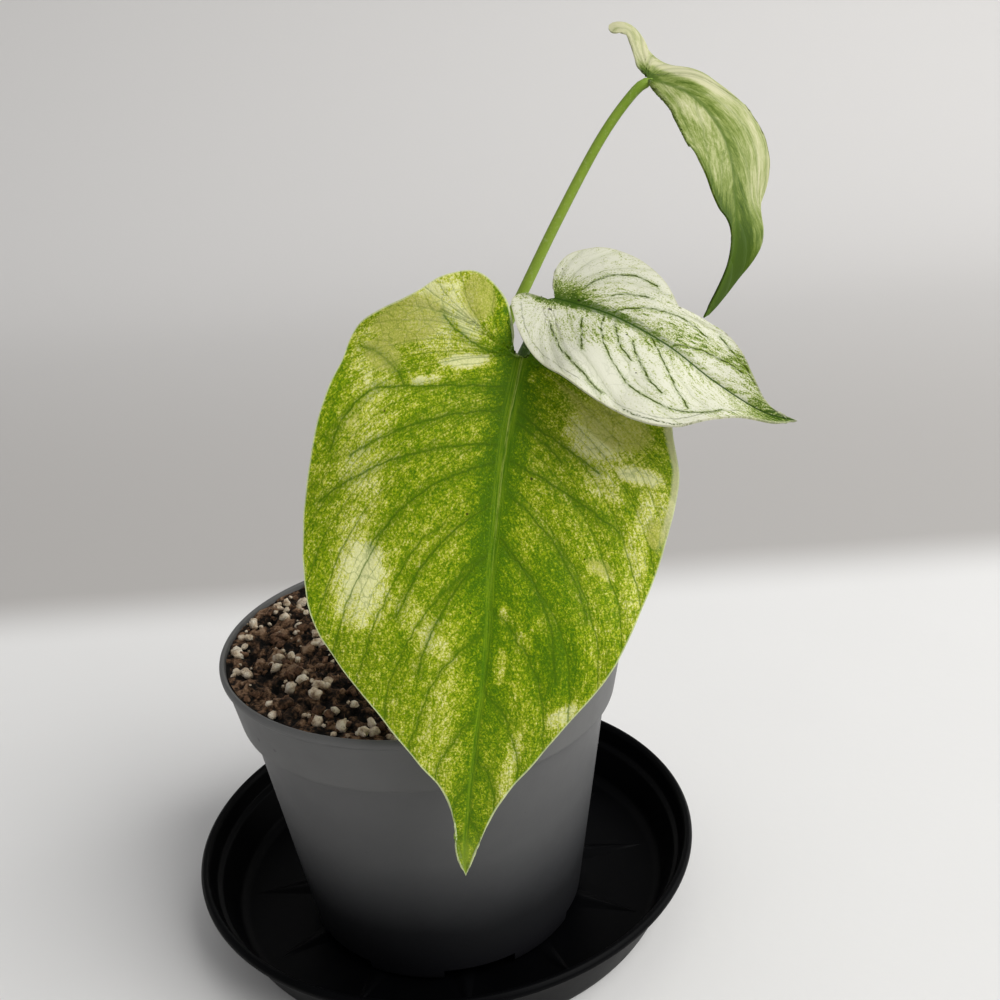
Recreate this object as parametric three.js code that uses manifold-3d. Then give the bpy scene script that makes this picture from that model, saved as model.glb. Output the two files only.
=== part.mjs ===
// Young variegated monstera with three leaves, in a round plastic pot on a round saucer.
// Millimetres, Z up. The origin is the middle of the saucer's underside; the front is -Y.
import * as THREE from 'three';
import { mergeVertices } from 'three/addons/utils/BufferGeometryUtils.js';
import Module from 'manifold-3d';

const wasm = await Module();
wasm.setup();

// Saucer
const saucerRadius = 79.2;
const saucerHeight = 21.8;
const saucerFloor = 2.5;
const saucerFloorRadius = 67.5;
const ledgeRadius = 73.4;
const ledgeHeight = 14.4;
const ribCount = 12;
const ribTop = 3.7;
const ribHalfWidth = 4.4;
const ribInner = 22;
const ribShoulder = 46;
const ribTip = 64;
const ribTurn = 5;

// Pot, which stands a little toward the front of the saucer
const potX = -0.8;
const potY = -8.4;
const potFoot = 4.0;
const potHeight = 91.9;
const rimRadius = 60;
const collarFoot = 77.7;
const collarRadiusTop = 58.8;
const collarRadiusFoot = 56.0;
const bodyRadiusTop = 53.6;
const bodyRadiusFoot = 42.4;
const wall = 1.2;
const potFloor = 6.7;
const notchCount = 6;
const notchHeight = 3.0;
const notchWidth = 21.4;
const notchTurn = -76;

// Soil and its grains
const soilTop = 94.7;
const soilBottom = 7.0;
const soilLump = 0.5;
const grainCount = 64;
const seat = 0.3;

// Stem and petioles
const stemX = 1;
const stemY = -8;
const stemRadius = 4.8;
const stemFoot = 62;
const stemTop = 112;
const bladeThickness = 0.7;

const round = 48;
const rad = Math.PI / 180;

function seededRandom(seed) {
  let state = seed;
  return () => {
    state = (state * 1664525 + 1013904223) % 4294967296;
    return state / 4294967296;
  };
}

function toSolid(geometry) {
  const bare = new THREE.BufferGeometry();
  bare.setAttribute('position', geometry.getAttribute('position'));
  if (geometry.index) bare.setIndex(geometry.index);
  const merged = mergeVertices(bare, 1e-4);
  return new wasm.Manifold(new wasm.Mesh({
    numProp: 3,
    vertProperties: new Float32Array(merged.getAttribute('position').array),
    triVerts: new Uint32Array(merged.index.array),
  }));
}

function toMesh(solid, name, colour, roughness) {
  const { vertProperties, triVerts, numProp } = solid.getMesh();
  const positions = [];
  for (let i = 0; i < vertProperties.length; i += numProp) {
    positions.push(vertProperties[i], vertProperties[i + 1], vertProperties[i + 2]);
  }
  const geometry = new THREE.BufferGeometry();
  geometry.setAttribute('position', new THREE.Float32BufferAttribute(positions, 3));
  geometry.setIndex(Array.from(triVerts));
  geometry.computeVertexNormals();
  const material = new THREE.MeshStandardMaterial({ color: colour, roughness, metalness: 0 });
  const mesh = new THREE.Mesh(geometry, material);
  mesh.name = name;
  return mesh;
}

// A turned shape about a vertical axis: the profile holds [radius, height] pairs
function turned(profile, x, y, segments = round) {
  const points = profile.map(([r, z]) => new THREE.Vector2(r, z));
  const geometry = new THREE.LatheGeometry(points, segments);
  geometry.rotateX(Math.PI / 2);
  geometry.translate(x, y, 0);
  return toSolid(geometry);
}

// A plate whose outline holds [x, y] pairs, from one height to another
function plate(outline, bottom, top) {
  const shape = new THREE.Shape(outline.map(([x, y]) => new THREE.Vector2(x, y)));
  const geometry = new THREE.ExtrudeGeometry(shape, { depth: top - bottom, bevelEnabled: false });
  geometry.translate(0, 0, bottom);
  return toSolid(geometry);
}

function turnedBy(solid, degrees, x, y) {
  return solid.rotate([0, 0, degrees]).translate([x, y, 0]);
}

// Saucer: a tapering wall with a ledge inside, a rolled rim and pointed ribs on the floor
function makeSaucer() {
  let saucer = turned([
    [0, 0],
    [saucerFloorRadius - 1.2, 0],
    [saucerFloorRadius + 0.6, 0.8],
    [saucerFloorRadius + 2.6, saucerFloor + 1],
    [ledgeRadius + 1.4, ledgeHeight - 0.8],
    [saucerRadius - 2.6, saucerHeight - 4.4],
    [saucerRadius - 1.6, saucerHeight - 3.4],
    [saucerRadius - 0.3, saucerHeight - 3],
    [saucerRadius, saucerHeight - 2],
    [saucerRadius - 0.4, saucerHeight - 0.6],
    [saucerRadius - 1.4, saucerHeight],
    [saucerRadius - 2.4, saucerHeight - 0.4],
    [saucerRadius - 3.2, saucerHeight - 1.8],
    [saucerRadius - 4.3, ledgeHeight + 0.3],
    [ledgeRadius, ledgeHeight],
    [saucerFloorRadius + 1, saucerFloor + 0.9],
    [saucerFloorRadius - 0.6, saucerFloor],
    [0, saucerFloor],
  ], 0, 0);
  const rib = [
    [ribInner, -ribHalfWidth],
    [ribShoulder, -ribHalfWidth],
    [ribTip, 0],
    [ribShoulder, ribHalfWidth],
    [ribInner, ribHalfWidth],
  ];
  for (let i = 0; i < ribCount; i += 1) {
    const raised = plate(rib, saucerFloor - 0.8, ribTop);
    saucer = saucer.add(turnedBy(raised, ribTurn + i * 360 / ribCount, 0, 0));
  }
  return saucer;
}

// Inside face of the pot, from the floor up, as [radius, height] pairs
function potInside(inset) {
  const rim = potFoot + potHeight;
  return [
    [bodyRadiusFoot - wall - inset, potFloor],
    [bodyRadiusTop - wall - inset, collarFoot - 1.2],
    [collarRadiusFoot - wall - inset, collarFoot + 1.4],
    [collarRadiusTop - wall - inset, rim - 4],
    [rimRadius - 1.7 - inset, rim - 0.7],
  ];
}

// Pot: tapering body, upright collar with a small bead, and a notched foot
function makePot() {
  const rim = potFoot + potHeight;
  let pot = turned([
    [0, potFloor - 1.1],
    [bodyRadiusFoot - 3, potFloor - 1.1],
    [bodyRadiusFoot - 3, potFoot],
    [bodyRadiusFoot - 0.4, potFoot],
    [bodyRadiusFoot, potFoot + 0.5],
    [bodyRadiusTop, collarFoot],
    [collarRadiusFoot - 0.4, collarFoot],
    [collarRadiusFoot, collarFoot + 0.5],
    [collarRadiusTop, rim - 3],
    [rimRadius - 0.3, rim - 2.5],
    [rimRadius, rim - 1.6],
    [rimRadius - 0.2, rim - 0.5],
    [rimRadius - 0.8, rim],
    ...potInside(0).reverse(),
    [0, potFloor],
  ], potX, potY);
  const notch = [
    [bodyRadiusFoot - 5, -notchWidth / 2],
    [bodyRadiusFoot + 4, -notchWidth / 2],
    [bodyRadiusFoot + 4, notchWidth / 2],
    [bodyRadiusFoot - 5, notchWidth / 2],
  ];
  for (let i = 0; i < notchCount; i += 1) {
    const cut = plate(notch, potFoot - 1, potFoot + notchHeight);
    pot = pot.subtract(turnedBy(cut, notchTurn + i * 360 / notchCount, potX, potY));
  }
  return pot;
}

// Uneven top of the soil, in millimetres above its mean height
function soilRise(x, y) {
  const long = Math.sin(0.31 * x + 1.1) * Math.cos(0.27 * y - 0.4);
  const short = Math.sin(0.83 * x - 0.52 * y) + Math.cos(0.47 * x + 0.91 * y + 2);
  return soilLump * (long + 0.7 * short);
}

// Soil: fills the pot, with an uneven top, pale grains fused into it and a hole for the stem
function makeSoil(stemHole) {
  const side = potInside(seat).slice(0, 3);
  side[0][1] = soilBottom;
  const edge = collarRadiusTop - wall - 0.8;
  const rings = 10;
  const profile = [[0, soilBottom], ...side, [edge, soilTop - 0.8]];
  for (let i = 1; i < rings; i += 1) profile.push([edge * (1 - i / rings), soilTop]);
  profile.push([0, soilTop]);
  const points = profile.map(([r, z]) => new THREE.Vector2(r, z));
  const geometry = new THREE.LatheGeometry(points, round);
  geometry.rotateX(Math.PI / 2);
  geometry.translate(potX, potY, 0);
  const position = geometry.getAttribute('position');
  for (let i = 0; i < position.count; i += 1) {
    const x = position.getX(i);
    const y = position.getY(i);
    const inside = Math.hypot(x - potX, y - potY) < edge - 1;
    if (inside && position.getZ(i) > soilTop - 0.1) {
      position.setZ(i, soilTop + soilRise(x, y));
    }
  }
  let soil = toSolid(geometry);
  const random = seededRandom(7);
  for (let i = 0; i < grainCount; i += 1) {
    const size = 1.3 + 0.9 * random();
    const reach = (edge - 4) * Math.sqrt((i + 0.6) / grainCount);
    const turn = i * 137.5 * rad + 0.5 * random();
    const x = potX + reach * Math.cos(turn);
    const y = potY + reach * Math.sin(turn);
    if (Math.hypot(x - stemX, y - stemY) < stemRadius + 4) continue;
    const grain = new THREE.IcosahedronGeometry(size, 0);
    grain.scale(1, 0.8 + 0.3 * random(), 0.75);
    grain.rotateZ(6.28 * random());
    grain.rotateX(0.8 * random());
    grain.translate(x, y, soilTop + soilRise(x, y));
    soil = soil.add(toSolid(grain));
  }
  return soil.subtract(stemHole);
}

// Stem: a short upright stub with leaf-scar rings, its foot down in the soil
function makeStem(extra) {
  const r = stemRadius + extra;
  return turned([
    [0, stemFoot - extra],
    [r - 1.6, stemFoot - extra],
    [r - 0.6, stemFoot + 4],
    [r - 0.4, 88],
    [r + 0.2, 92],
    [r + 0.4, 95.2],
    [r - 0.6, 96.4],
    [r - 0.4, 101],
    [r + 0.1, 103.4],
    [r - 0.9, 105],
    [r - 1.2, stemTop - 3],
    [r - 2.4, stemTop - 0.8 + extra],
    [0, stemTop + extra],
  ], stemX, stemY, 14);
}

// A round stalk along a smooth curve, thinner toward its end
function stalk(points, footRadius, endRadius, sides = 9, steps = 18) {
  const route = new THREE.CatmullRomCurve3(points.map((p) => new THREE.Vector3(...p)),
    false, 'catmullrom', 0.5);
  const frames = route.computeFrenetFrames(steps, false);
  const positions = [];
  const faces = [];
  for (let i = 0; i <= steps; i += 1) {
    const centre = route.getPointAt(i / steps);
    const r = footRadius + (endRadius - footRadius) * (i / steps);
    for (let j = 0; j < sides; j += 1) {
      const turn = 2 * Math.PI * j / sides;
      const p = centre.clone()
        .addScaledVector(frames.normals[i], r * Math.cos(turn))
        .addScaledVector(frames.binormals[i], r * Math.sin(turn));
      positions.push(p.x, p.y, p.z);
    }
  }
  const ring = (i, j) => i * sides + (j % sides);
  for (let i = 0; i < steps; i += 1) {
    for (let j = 0; j < sides; j += 1) {
      faces.push(ring(i, j), ring(i, j + 1), ring(i + 1, j + 1));
      faces.push(ring(i, j), ring(i + 1, j + 1), ring(i + 1, j));
    }
  }
  for (let j = 1; j < sides - 1; j += 1) {
    faces.push(ring(0, 0), ring(0, j + 1), ring(0, j));
    faces.push(ring(steps, 0), ring(steps, j), ring(steps, j + 1));
  }
  const geometry = new THREE.BufferGeometry();
  geometry.setAttribute('position', new THREE.Float32BufferAttribute(positions, 3));
  geometry.setIndex(faces);
  return toSolid(geometry);
}

// A value that eases from one [place, value] pair to the next
function between(list, at) {
  if (at <= list[0][0]) return list[0][1];
  for (let i = 1; i < list.length; i += 1) {
    const [a, low] = list[i - 1];
    const [b, high] = list[i];
    if (at <= b) {
      const part = (at - a) / (b - a);
      return low + (high - low) * part * part * (3 - 2 * part);
    }
  }
  return list[list.length - 1][1];
}

// The middle surface of a blade: a point for a distance along the midrib and one across it.
// Negative distances along lie behind the joint, negative distances across on the left half.
function bladeSurface(leaf) {
  const rib = new THREE.CatmullRomCurve3(leaf.midrib.map((p) => new THREE.Vector3(...p)),
    false, 'catmullrom', 0.5);
  const length = rib.getLength();
  const side = new THREE.Vector3(...leaf.side);
  const open = (along, across) => {
    const part = Math.min(Math.max(along / length, 0), 1);
    const forward = rib.getTangentAt(part);
    const centre = rib.getPointAt(part);
    centre.addScaledVector(forward, along - part * length);
    const wide = side.clone().addScaledVector(forward, -side.dot(forward)).normalize();
    const up = forward.clone().cross(wide);
    const fold = between(across < 0 ? leaf.foldLeft : leaf.foldRight, along) * rad;
    const out = Math.abs(across);
    const wave = (across < 0 ? leaf.waveLeft : leaf.waveRight);
    const lift = between(wave, along) * (out / leaf.halfWidth) ** 2;
    centre.addScaledVector(wide, across * Math.cos(fold));
    return centre.addScaledVector(up, out * Math.sin(fold) - leaf.bow * out * out + lift);
  };
  return { length, at: leaf.curl ? curled(open, leaf.curl) : open };
}

// A blade surface whose right-hand lobe rolls up past a line across it, like a hook
function curled(open, curl) {
  const [wayAlong, wayAcross] = curl.way;
  const axis = new THREE.Vector3(...curl.axis).normalize();
  const start = open(wayAlong * curl.start, wayAcross * curl.start);
  const next = open(wayAlong * (curl.start + 1), wayAcross * (curl.start + 1));
  const inward = axis.clone().cross(next.sub(start).normalize()).normalize();
  const hinge = start.clone().addScaledVector(inward, curl.radius);
  return (along, across) => {
    const over = along * wayAlong + across * wayAcross - curl.start;
    if (across <= 0 || along > 0 || over <= 0) return open(along, across);
    const point = open(along - wayAlong * over, across - wayAcross * over);
    return point.sub(hinge).applyAxisAngle(axis, over / curl.radius).add(hinge);
  };
}

// Half an outline as [foot, along, across] rows: each row runs from its foot on the midrib to
// the margin. Rows of the lobe behind the joint all start at the joint; the others lean forward.
function halfRows(points, length, steps) {
  const all = [[0, 0], ...points, [length, 0]];
  const curve = new THREE.CatmullRomCurve3(all.map(([a, w]) => new THREE.Vector3(a, w, 0)));
  const fine = curve.getSpacedPoints(600);
  const foot = (p) => p.x - 0.35 * Math.abs(p.y);
  let last = 0;
  fine.forEach((p, i) => {
    if (foot(p) <= 0) last = i;
  });
  const rows = [];
  const span = length / steps;
  const lobeLength = last * curve.getLength() / 600;
  const lobeRows = Math.floor(1.8 * lobeLength / span);
  for (let i = 0; i < lobeRows; i += 1) {
    const p = fine[Math.round(last * i / lobeRows)];
    rows.push([0, p.x, p.y]);
  }
  if (lobeRows === 0) rows.push([0, 0, 0]);
  let at = last;
  for (let i = lobeRows === 0 ? 1 : 0; i < steps; i += 1) {
    while (foot(fine[at]) < i * span) at += 1;
    rows.push([i * span, fine[at].x, fine[at].y]);
  }
  rows.push([length, length, 0]);
  return rows;
}

// How far a row bows aside for its length: rows that run straight back bow the most, so that
// they keep clear of the notch between the lobes
function rowBow(leaf, along, across) {
  const turn = Math.atan2(Math.abs(across), -along);
  return between([[0.4, leaf.lobeBow], [1.4, 0]], turn);
}

// A blade: both halves in rows from the midrib to the margin, the same rows on both faces
function blade(leaf, thickness, steps, parts) {
  const surface = bladeSurface(leaf);
  const positions = [];
  const faces = [];
  const known = new Map();
  const vertex = (along, across) => {
    const key = `${along.toFixed(3)},${across.toFixed(3)}`;
    if (known.has(key)) return known.get(key);
    const half = across < 0 ? -1 : 1;
    const du = surface.at(along + 0.2, across).sub(surface.at(along - 0.2, across));
    const dv = surface.at(along, across + 0.1 * half).sub(surface.at(along, across));
    const normal = du.cross(dv).multiplyScalar(half).normalize();
    const index = positions.length / 3;
    for (const offset of [0.5, -0.5]) {
      const p = surface.at(along, across).addScaledVector(normal, offset * thickness);
      positions.push(p.x, p.y, p.z);
    }
    known.set(key, index);
    return index;
  };
  const triangle = (a, b, c) => {
    if (a === b || b === c || c === a) return;
    faces.push(a, b, c, a + 1, c + 1, b + 1);
  };
  for (const [outline, sign] of [[leaf.left, -1], [leaf.right, 1]]) {
    const grid = halfRows(outline, surface.length, steps).map(([foot, along, across]) => {
      const line = [];
      const bow = foot === 0 && along !== 0 ? rowBow(leaf, along, across) : 0;
      for (let j = 0; j <= parts; j += 1) {
        const part = j / parts;
        const aside = 2 * part * (1 - part) * bow;
        line.push(vertex(
          foot + (along - foot) * part + aside * Math.abs(across),
          across * part + aside * Math.abs(along) * sign,
        ));
      }
      return line;
    });
    for (let i = 0; i < grid.length - 1; i += 1) {
      for (let j = 0; j < parts; j += 1) {
        const [a, b] = [grid[i][j], grid[i][j + 1]];
        const [c, d] = [grid[i + 1][j + 1], grid[i + 1][j]];
        if (sign > 0) {
          triangle(a, c, b);
          triangle(a, d, c);
        } else {
          triangle(a, b, c);
          triangle(a, c, d);
        }
      }
      const [p, q] = [grid[i][parts], grid[i + 1][parts]];
      if (p === q) continue;
      if (sign > 0) faces.push(p, q, q + 1, p, q + 1, p + 1);
      else faces.push(p, q + 1, q, p, p + 1, q + 1);
    }
  }
  const geometry = new THREE.BufferGeometry();
  geometry.setAttribute('position', new THREE.Float32BufferAttribute(positions, 3));
  geometry.setIndex(faces);
  return toSolid(geometry);
}

// A block over the joint of a blade, which trims its petiole just short of the back face
function jointBlock(leaf) {
  const surface = bladeSurface(leaf);
  const centre = surface.at(1, 0);
  const forward = surface.at(3, 0).sub(surface.at(0, 0)).normalize();
  const side = new THREE.Vector3(...leaf.side);
  const wide = side.addScaledVector(forward, -side.dot(forward)).normalize();
  const up = forward.clone().cross(wide);
  const size = 14;
  const block = new THREE.BoxGeometry(size, size, size);
  block.applyMatrix4(new THREE.Matrix4().makeBasis(forward, wide, up));
  centre.addScaledVector(up, size / 2 - bladeThickness / 2 - seat);
  block.translate(centre.x, centre.y, centre.z);
  return toSolid(block);
}

// Front leaf: the large heart-shaped blade that hangs before the pot
const frontLeaf = {
  midrib: [[32.3, -44, 185.2], [26.9, -54, 167], [21.9, -65, 141.9], [18.8, -73, 120.2],
    [14.9, -78, 100.4], [10.5, -80, 75.1], [9.5, -79, 62.4]],
  side: [1, 0, 0.07],
  foldLeft: [[0, 5]],
  foldRight: [[0, 5]],
  bow: 0.004,
  lobeBow: 0.36,
  halfWidth: 45,
  waveLeft: [[-20, 0.5], [-3, -2.2], [18, 1.8], [42, -1], [66, 2], [92, -3], [118, 6], [132, 0]],
  waveRight: [[-14, 1.5], [8, -1.6], [30, 1.5], [52, -2], [74, 2.4], [98, -4], [120, 6], [132, 0]],
  left: [[-1, -2.4], [-5.5, -3], [-13.5, -6.4], [-18, -11.5], [-19.2, -16.5], [-16.4, -23.2],
    [-11, -30], [-7.3, -36.5], [-2.5, -42], [8, -43.8], [20, -46], [38.7, -47.2], [52, -46],
    [67, -42], [80.4, -33.9], [90.7, -23], [100.2, -13.2], [107.5, -6.2], [116, -3], [125, -2]],
  right: [[-0.4, 1.6], [-6, 3.4], [-11, 7], [-13.7, 14], [-12, 23], [-6, 31.5], [2, 36.5],
    [13, 39.8], [24, 42.4], [40, 41.2], [55, 38], [71, 31.4], [85, 22], [97, 14.8], [106, 8.8],
    [114, 5.3], [123, 2.8]],
};

// Side leaf: the smaller pale blade that reaches right over the front leaf's shoulder
const sideLeaf = {
  midrib: [[41.7, -36, 197.3], [54.1, -44, 194.1], [66.3, -51, 187.5], [76.6, -56, 179.1],
    [86.9, -60, 172.2], [95.2, -60, 169.4]],
  side: [0.25, 0.82, 0.52],
  foldLeft: [[0, 10], [40, 10], [58, 24]],
  foldRight: [[0, 10], [40, 10], [58, 24]],
  bow: 0.006,
  lobeBow: 0.3,
  halfWidth: 24,
  waveLeft: [[-10, 1.5], [4, -0.8], [18, 1.2], [33, -1.2], [48, 1.5], [60, 0]],
  waveRight: [[-4, 1.2], [10, -0.8], [20, 1], [31, -1.6], [41, 1.5], [56, 0]],
  left: [[-2, -1], [-7.6, -1.3], [-9.3, -4], [-6.4, -9], [-1, -15], [5, -19.6], [14, -23.8],
    [22, -26], [31, -25.6], [37, -25.7], [42, -24], [46.4, -19.6], [50.6, -13.2], [56, -6.4],
    [61.5, -2.8]],
  right: [[-2.6, 4], [-4.2, 8.6], [-3.6, 13.4], [0.2, 17.7], [7, 20.2], [14, 19], [21, 15.9],
    [28.6, 11.6], [33, 11.4], [40, 14.2], [45, 12.3], [51, 7.6], [57.5, 2.8], [62, 1.2]],
};

// High leaf: the youngest blade, drooping in an arch from the tall petiole, with a hooked lobe
const highLeaf = {
  midrib: [[70.7, 0, 245.7], [82, -3, 240.2], [89.5, -7, 228.8], [90.8, -12, 213.9],
    [88.8, -17, 200.7], [80.8, -22, 186.9]],
  side: [0.45, 0.8, 0.35],
  foldLeft: [[0, 0]],
  foldRight: [[0, 0], [38, 2], [54, 26], [74, 30]],
  bow: 0,
  lobeBow: 0,
  halfWidth: 24,
  waveLeft: [[0, 0], [74, 0]],
  waveRight: [[-12, 0], [1, -7.8], [12, -5.7], [22, -2], [30, -1], [43, -3.5], [52, -2], [74, 0]],
  curl: { way: [-0.46, 0.888], start: 18.2, radius: 4, axis: [0.1, -0.9, 0.42] },
  left: [[3, -3.3], [6.7, -7.4], [11.5, -11.2], [17.3, -14.4], [26, -17.8], [33, -18.6],
    [37.5, -17.2], [41.1, -15.3], [44, -13], [46.4, -10], [48.2, -5.6], [50.5, -3], [55, -2],
    [62, -1.6], [69, -1]],
  right: [[-3.5, 3.1], [-5.8, 7.6], [-8.2, 12.5], [-10.2, 15.6], [-12, 18.8], [-13.4, 21.4],
    [-13.3, 23.8], [-11.4, 24.5], [-9.8, 23], [-8.3, 20.8], [-6.4, 18.6], [-3.8, 18], [0, 18.6],
    [5, 19], [9, 18.8], [14.6, 18.6], [19, 18.6], [24, 20.2], [28.8, 22.4], [34.4, 24.2],
    [38, 23.2], [41.3, 19], [44.8, 14.1], [48.1, 12.1], [53.3, 9.9], [59.7, 6.6], [66, 4.4],
    [71, 2.2]],
};

// Petiole routes, from the stem to the joint of each blade
const frontPetiole = [[1, -11, 97], [3, -17, 112], [8, -22, 128], [18, -28, 150],
  [26, -34, 168], [30, -40, 178.5], [31.4, -45.6, 182.4]];
const sidePetiole = [[4, -7, 102], [9, -7, 116], [14, -9, 132], [22, -14, 154],
  [29, -20, 171], [34, -26, 182.5], [38.6, -31.4, 191.4], [43.2, -37, 197.2]];
const highPetiole = [[-1, -6, 106], [-2, -3, 116], [1, -3, 128], [9, -5, 146], [18, -7, 163],
  [27, -7, 180], [35, -6, 194], [45.4, -3, 211.8], [57.8, -1, 231.5], [67.1, -0.2, 242.6],
  [71.6, -0.2, 245.1]];

const group = new THREE.Group();
group.name = 'potted_monstera';

const stem = makeStem(0);
const stemRoom = makeStem(seat);
group.add(toMesh(makeSaucer(), 'saucer', 0x141416, 0.45));
group.add(toMesh(makePot(), 'pot', 0x6a6c6e, 0.5));
group.add(toMesh(makeSoil(stemRoom), 'soil', 0x2e211a, 0.95));
group.add(toMesh(stem, 'stem', 0x6f8f3a, 0.6));

const leaves = [
  ['front', frontLeaf, frontPetiole, 2.1, 1.7, 0x9cbc3e, 0x7f9c3c],
  ['side', sideLeaf, sidePetiole, 1.9, 1.5, 0xe3e6cf, 0x5c7f38],
  ['high', highLeaf, highPetiole, 1.9, 1.25, 0xb7c98a, 0x8ba64c],
];
for (const [name, leaf, route, footRadius, endRadius, bladeColour, stalkColour] of leaves) {
  const [steps, parts] = leaf.curl ? [24, 10] : [20, 6];
  const petiole = stalk(route, footRadius, endRadius).subtract(stemRoom)
    .subtract(jointBlock(leaf));
  group.add(toMesh(petiole, `petiole_${name}`, stalkColour, 0.5));
  const sheet = blade(leaf, bladeThickness, steps, parts);
  group.add(toMesh(sheet, `leaf_${name}`, bladeColour, 0.4));
}

export default group;
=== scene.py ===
import math
import random
from contextlib import contextmanager

import bpy
from mathutils import Euler, Matrix, Vector, noise


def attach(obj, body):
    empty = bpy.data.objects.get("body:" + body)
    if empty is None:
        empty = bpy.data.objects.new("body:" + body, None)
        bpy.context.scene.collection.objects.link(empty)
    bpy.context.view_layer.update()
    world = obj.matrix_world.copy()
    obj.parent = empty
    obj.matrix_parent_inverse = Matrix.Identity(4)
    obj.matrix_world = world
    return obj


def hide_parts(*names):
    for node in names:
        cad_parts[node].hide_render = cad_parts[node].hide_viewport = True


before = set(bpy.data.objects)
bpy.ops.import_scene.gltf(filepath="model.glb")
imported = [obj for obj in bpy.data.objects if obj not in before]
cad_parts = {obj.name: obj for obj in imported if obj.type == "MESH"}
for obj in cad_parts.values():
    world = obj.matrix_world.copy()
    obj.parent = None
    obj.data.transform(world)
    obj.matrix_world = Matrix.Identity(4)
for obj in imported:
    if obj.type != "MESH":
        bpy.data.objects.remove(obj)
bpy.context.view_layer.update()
MM = 0.001


# Working with objects

def deselect_all():
    if bpy.context.object and bpy.context.object.mode != "OBJECT":
        bpy.ops.object.mode_set(mode="OBJECT")
    bpy.ops.object.select_all(action="DESELECT")


def pick(*pieces):
    deselect_all()
    for piece in pieces:
        piece.select_set(True)
    bpy.context.view_layer.objects.active = pieces[0]


@contextmanager
def edit_mode(piece, selection="SELECT"):
    """The mesh open for editing, with all of it selected, none of it, or what was before."""
    pick(piece)
    bpy.ops.object.mode_set(mode="EDIT")
    if selection:
        bpy.ops.mesh.select_all(action=selection)
    yield
    bpy.ops.object.mode_set(mode="OBJECT")


def settle(piece):
    """Puts the object at the origin, unturned and unscaled, with its place in its mesh."""
    pick(piece)
    bpy.ops.object.transform_apply(location=True, rotation=True, scale=True)


def join(name, pieces):
    pick(*pieces)
    if len(pieces) > 1:
        bpy.ops.object.join()
    joined = bpy.context.object
    joined.name = name
    joined.data.name = name
    return joined


def clean_mesh(piece, gap, outward=True):
    """Merges vertices closer than the gap, and turns the faces outwards."""
    with edit_mode(piece):
        bpy.ops.mesh.remove_doubles(threshold=gap * MM)
        if outward:
            bpy.ops.mesh.normals_make_consistent(inside=False)


def smooth(piece, angle):
    """Shades the piece smooth, but for edges sharper than the angle."""
    pick(piece)
    bpy.ops.object.shade_smooth_by_angle(angle=math.radians(angle))


def apply_modifier(piece, kind, **settings):
    pick(piece)
    modifier = piece.modifiers.new(kind.lower(), kind)
    for key, value in settings.items():
        setattr(modifier, key, value)
    bpy.ops.object.modifier_apply(modifier=modifier.name)


def finish_piece(piece, material=None, replaces=None):
    """Gives the piece its material and its body, and hides the solid it replaces."""
    if material:
        piece.data.materials.append(material)
    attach(piece, "root")
    if replaces:
        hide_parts(replaces)


# Node materials

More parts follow.
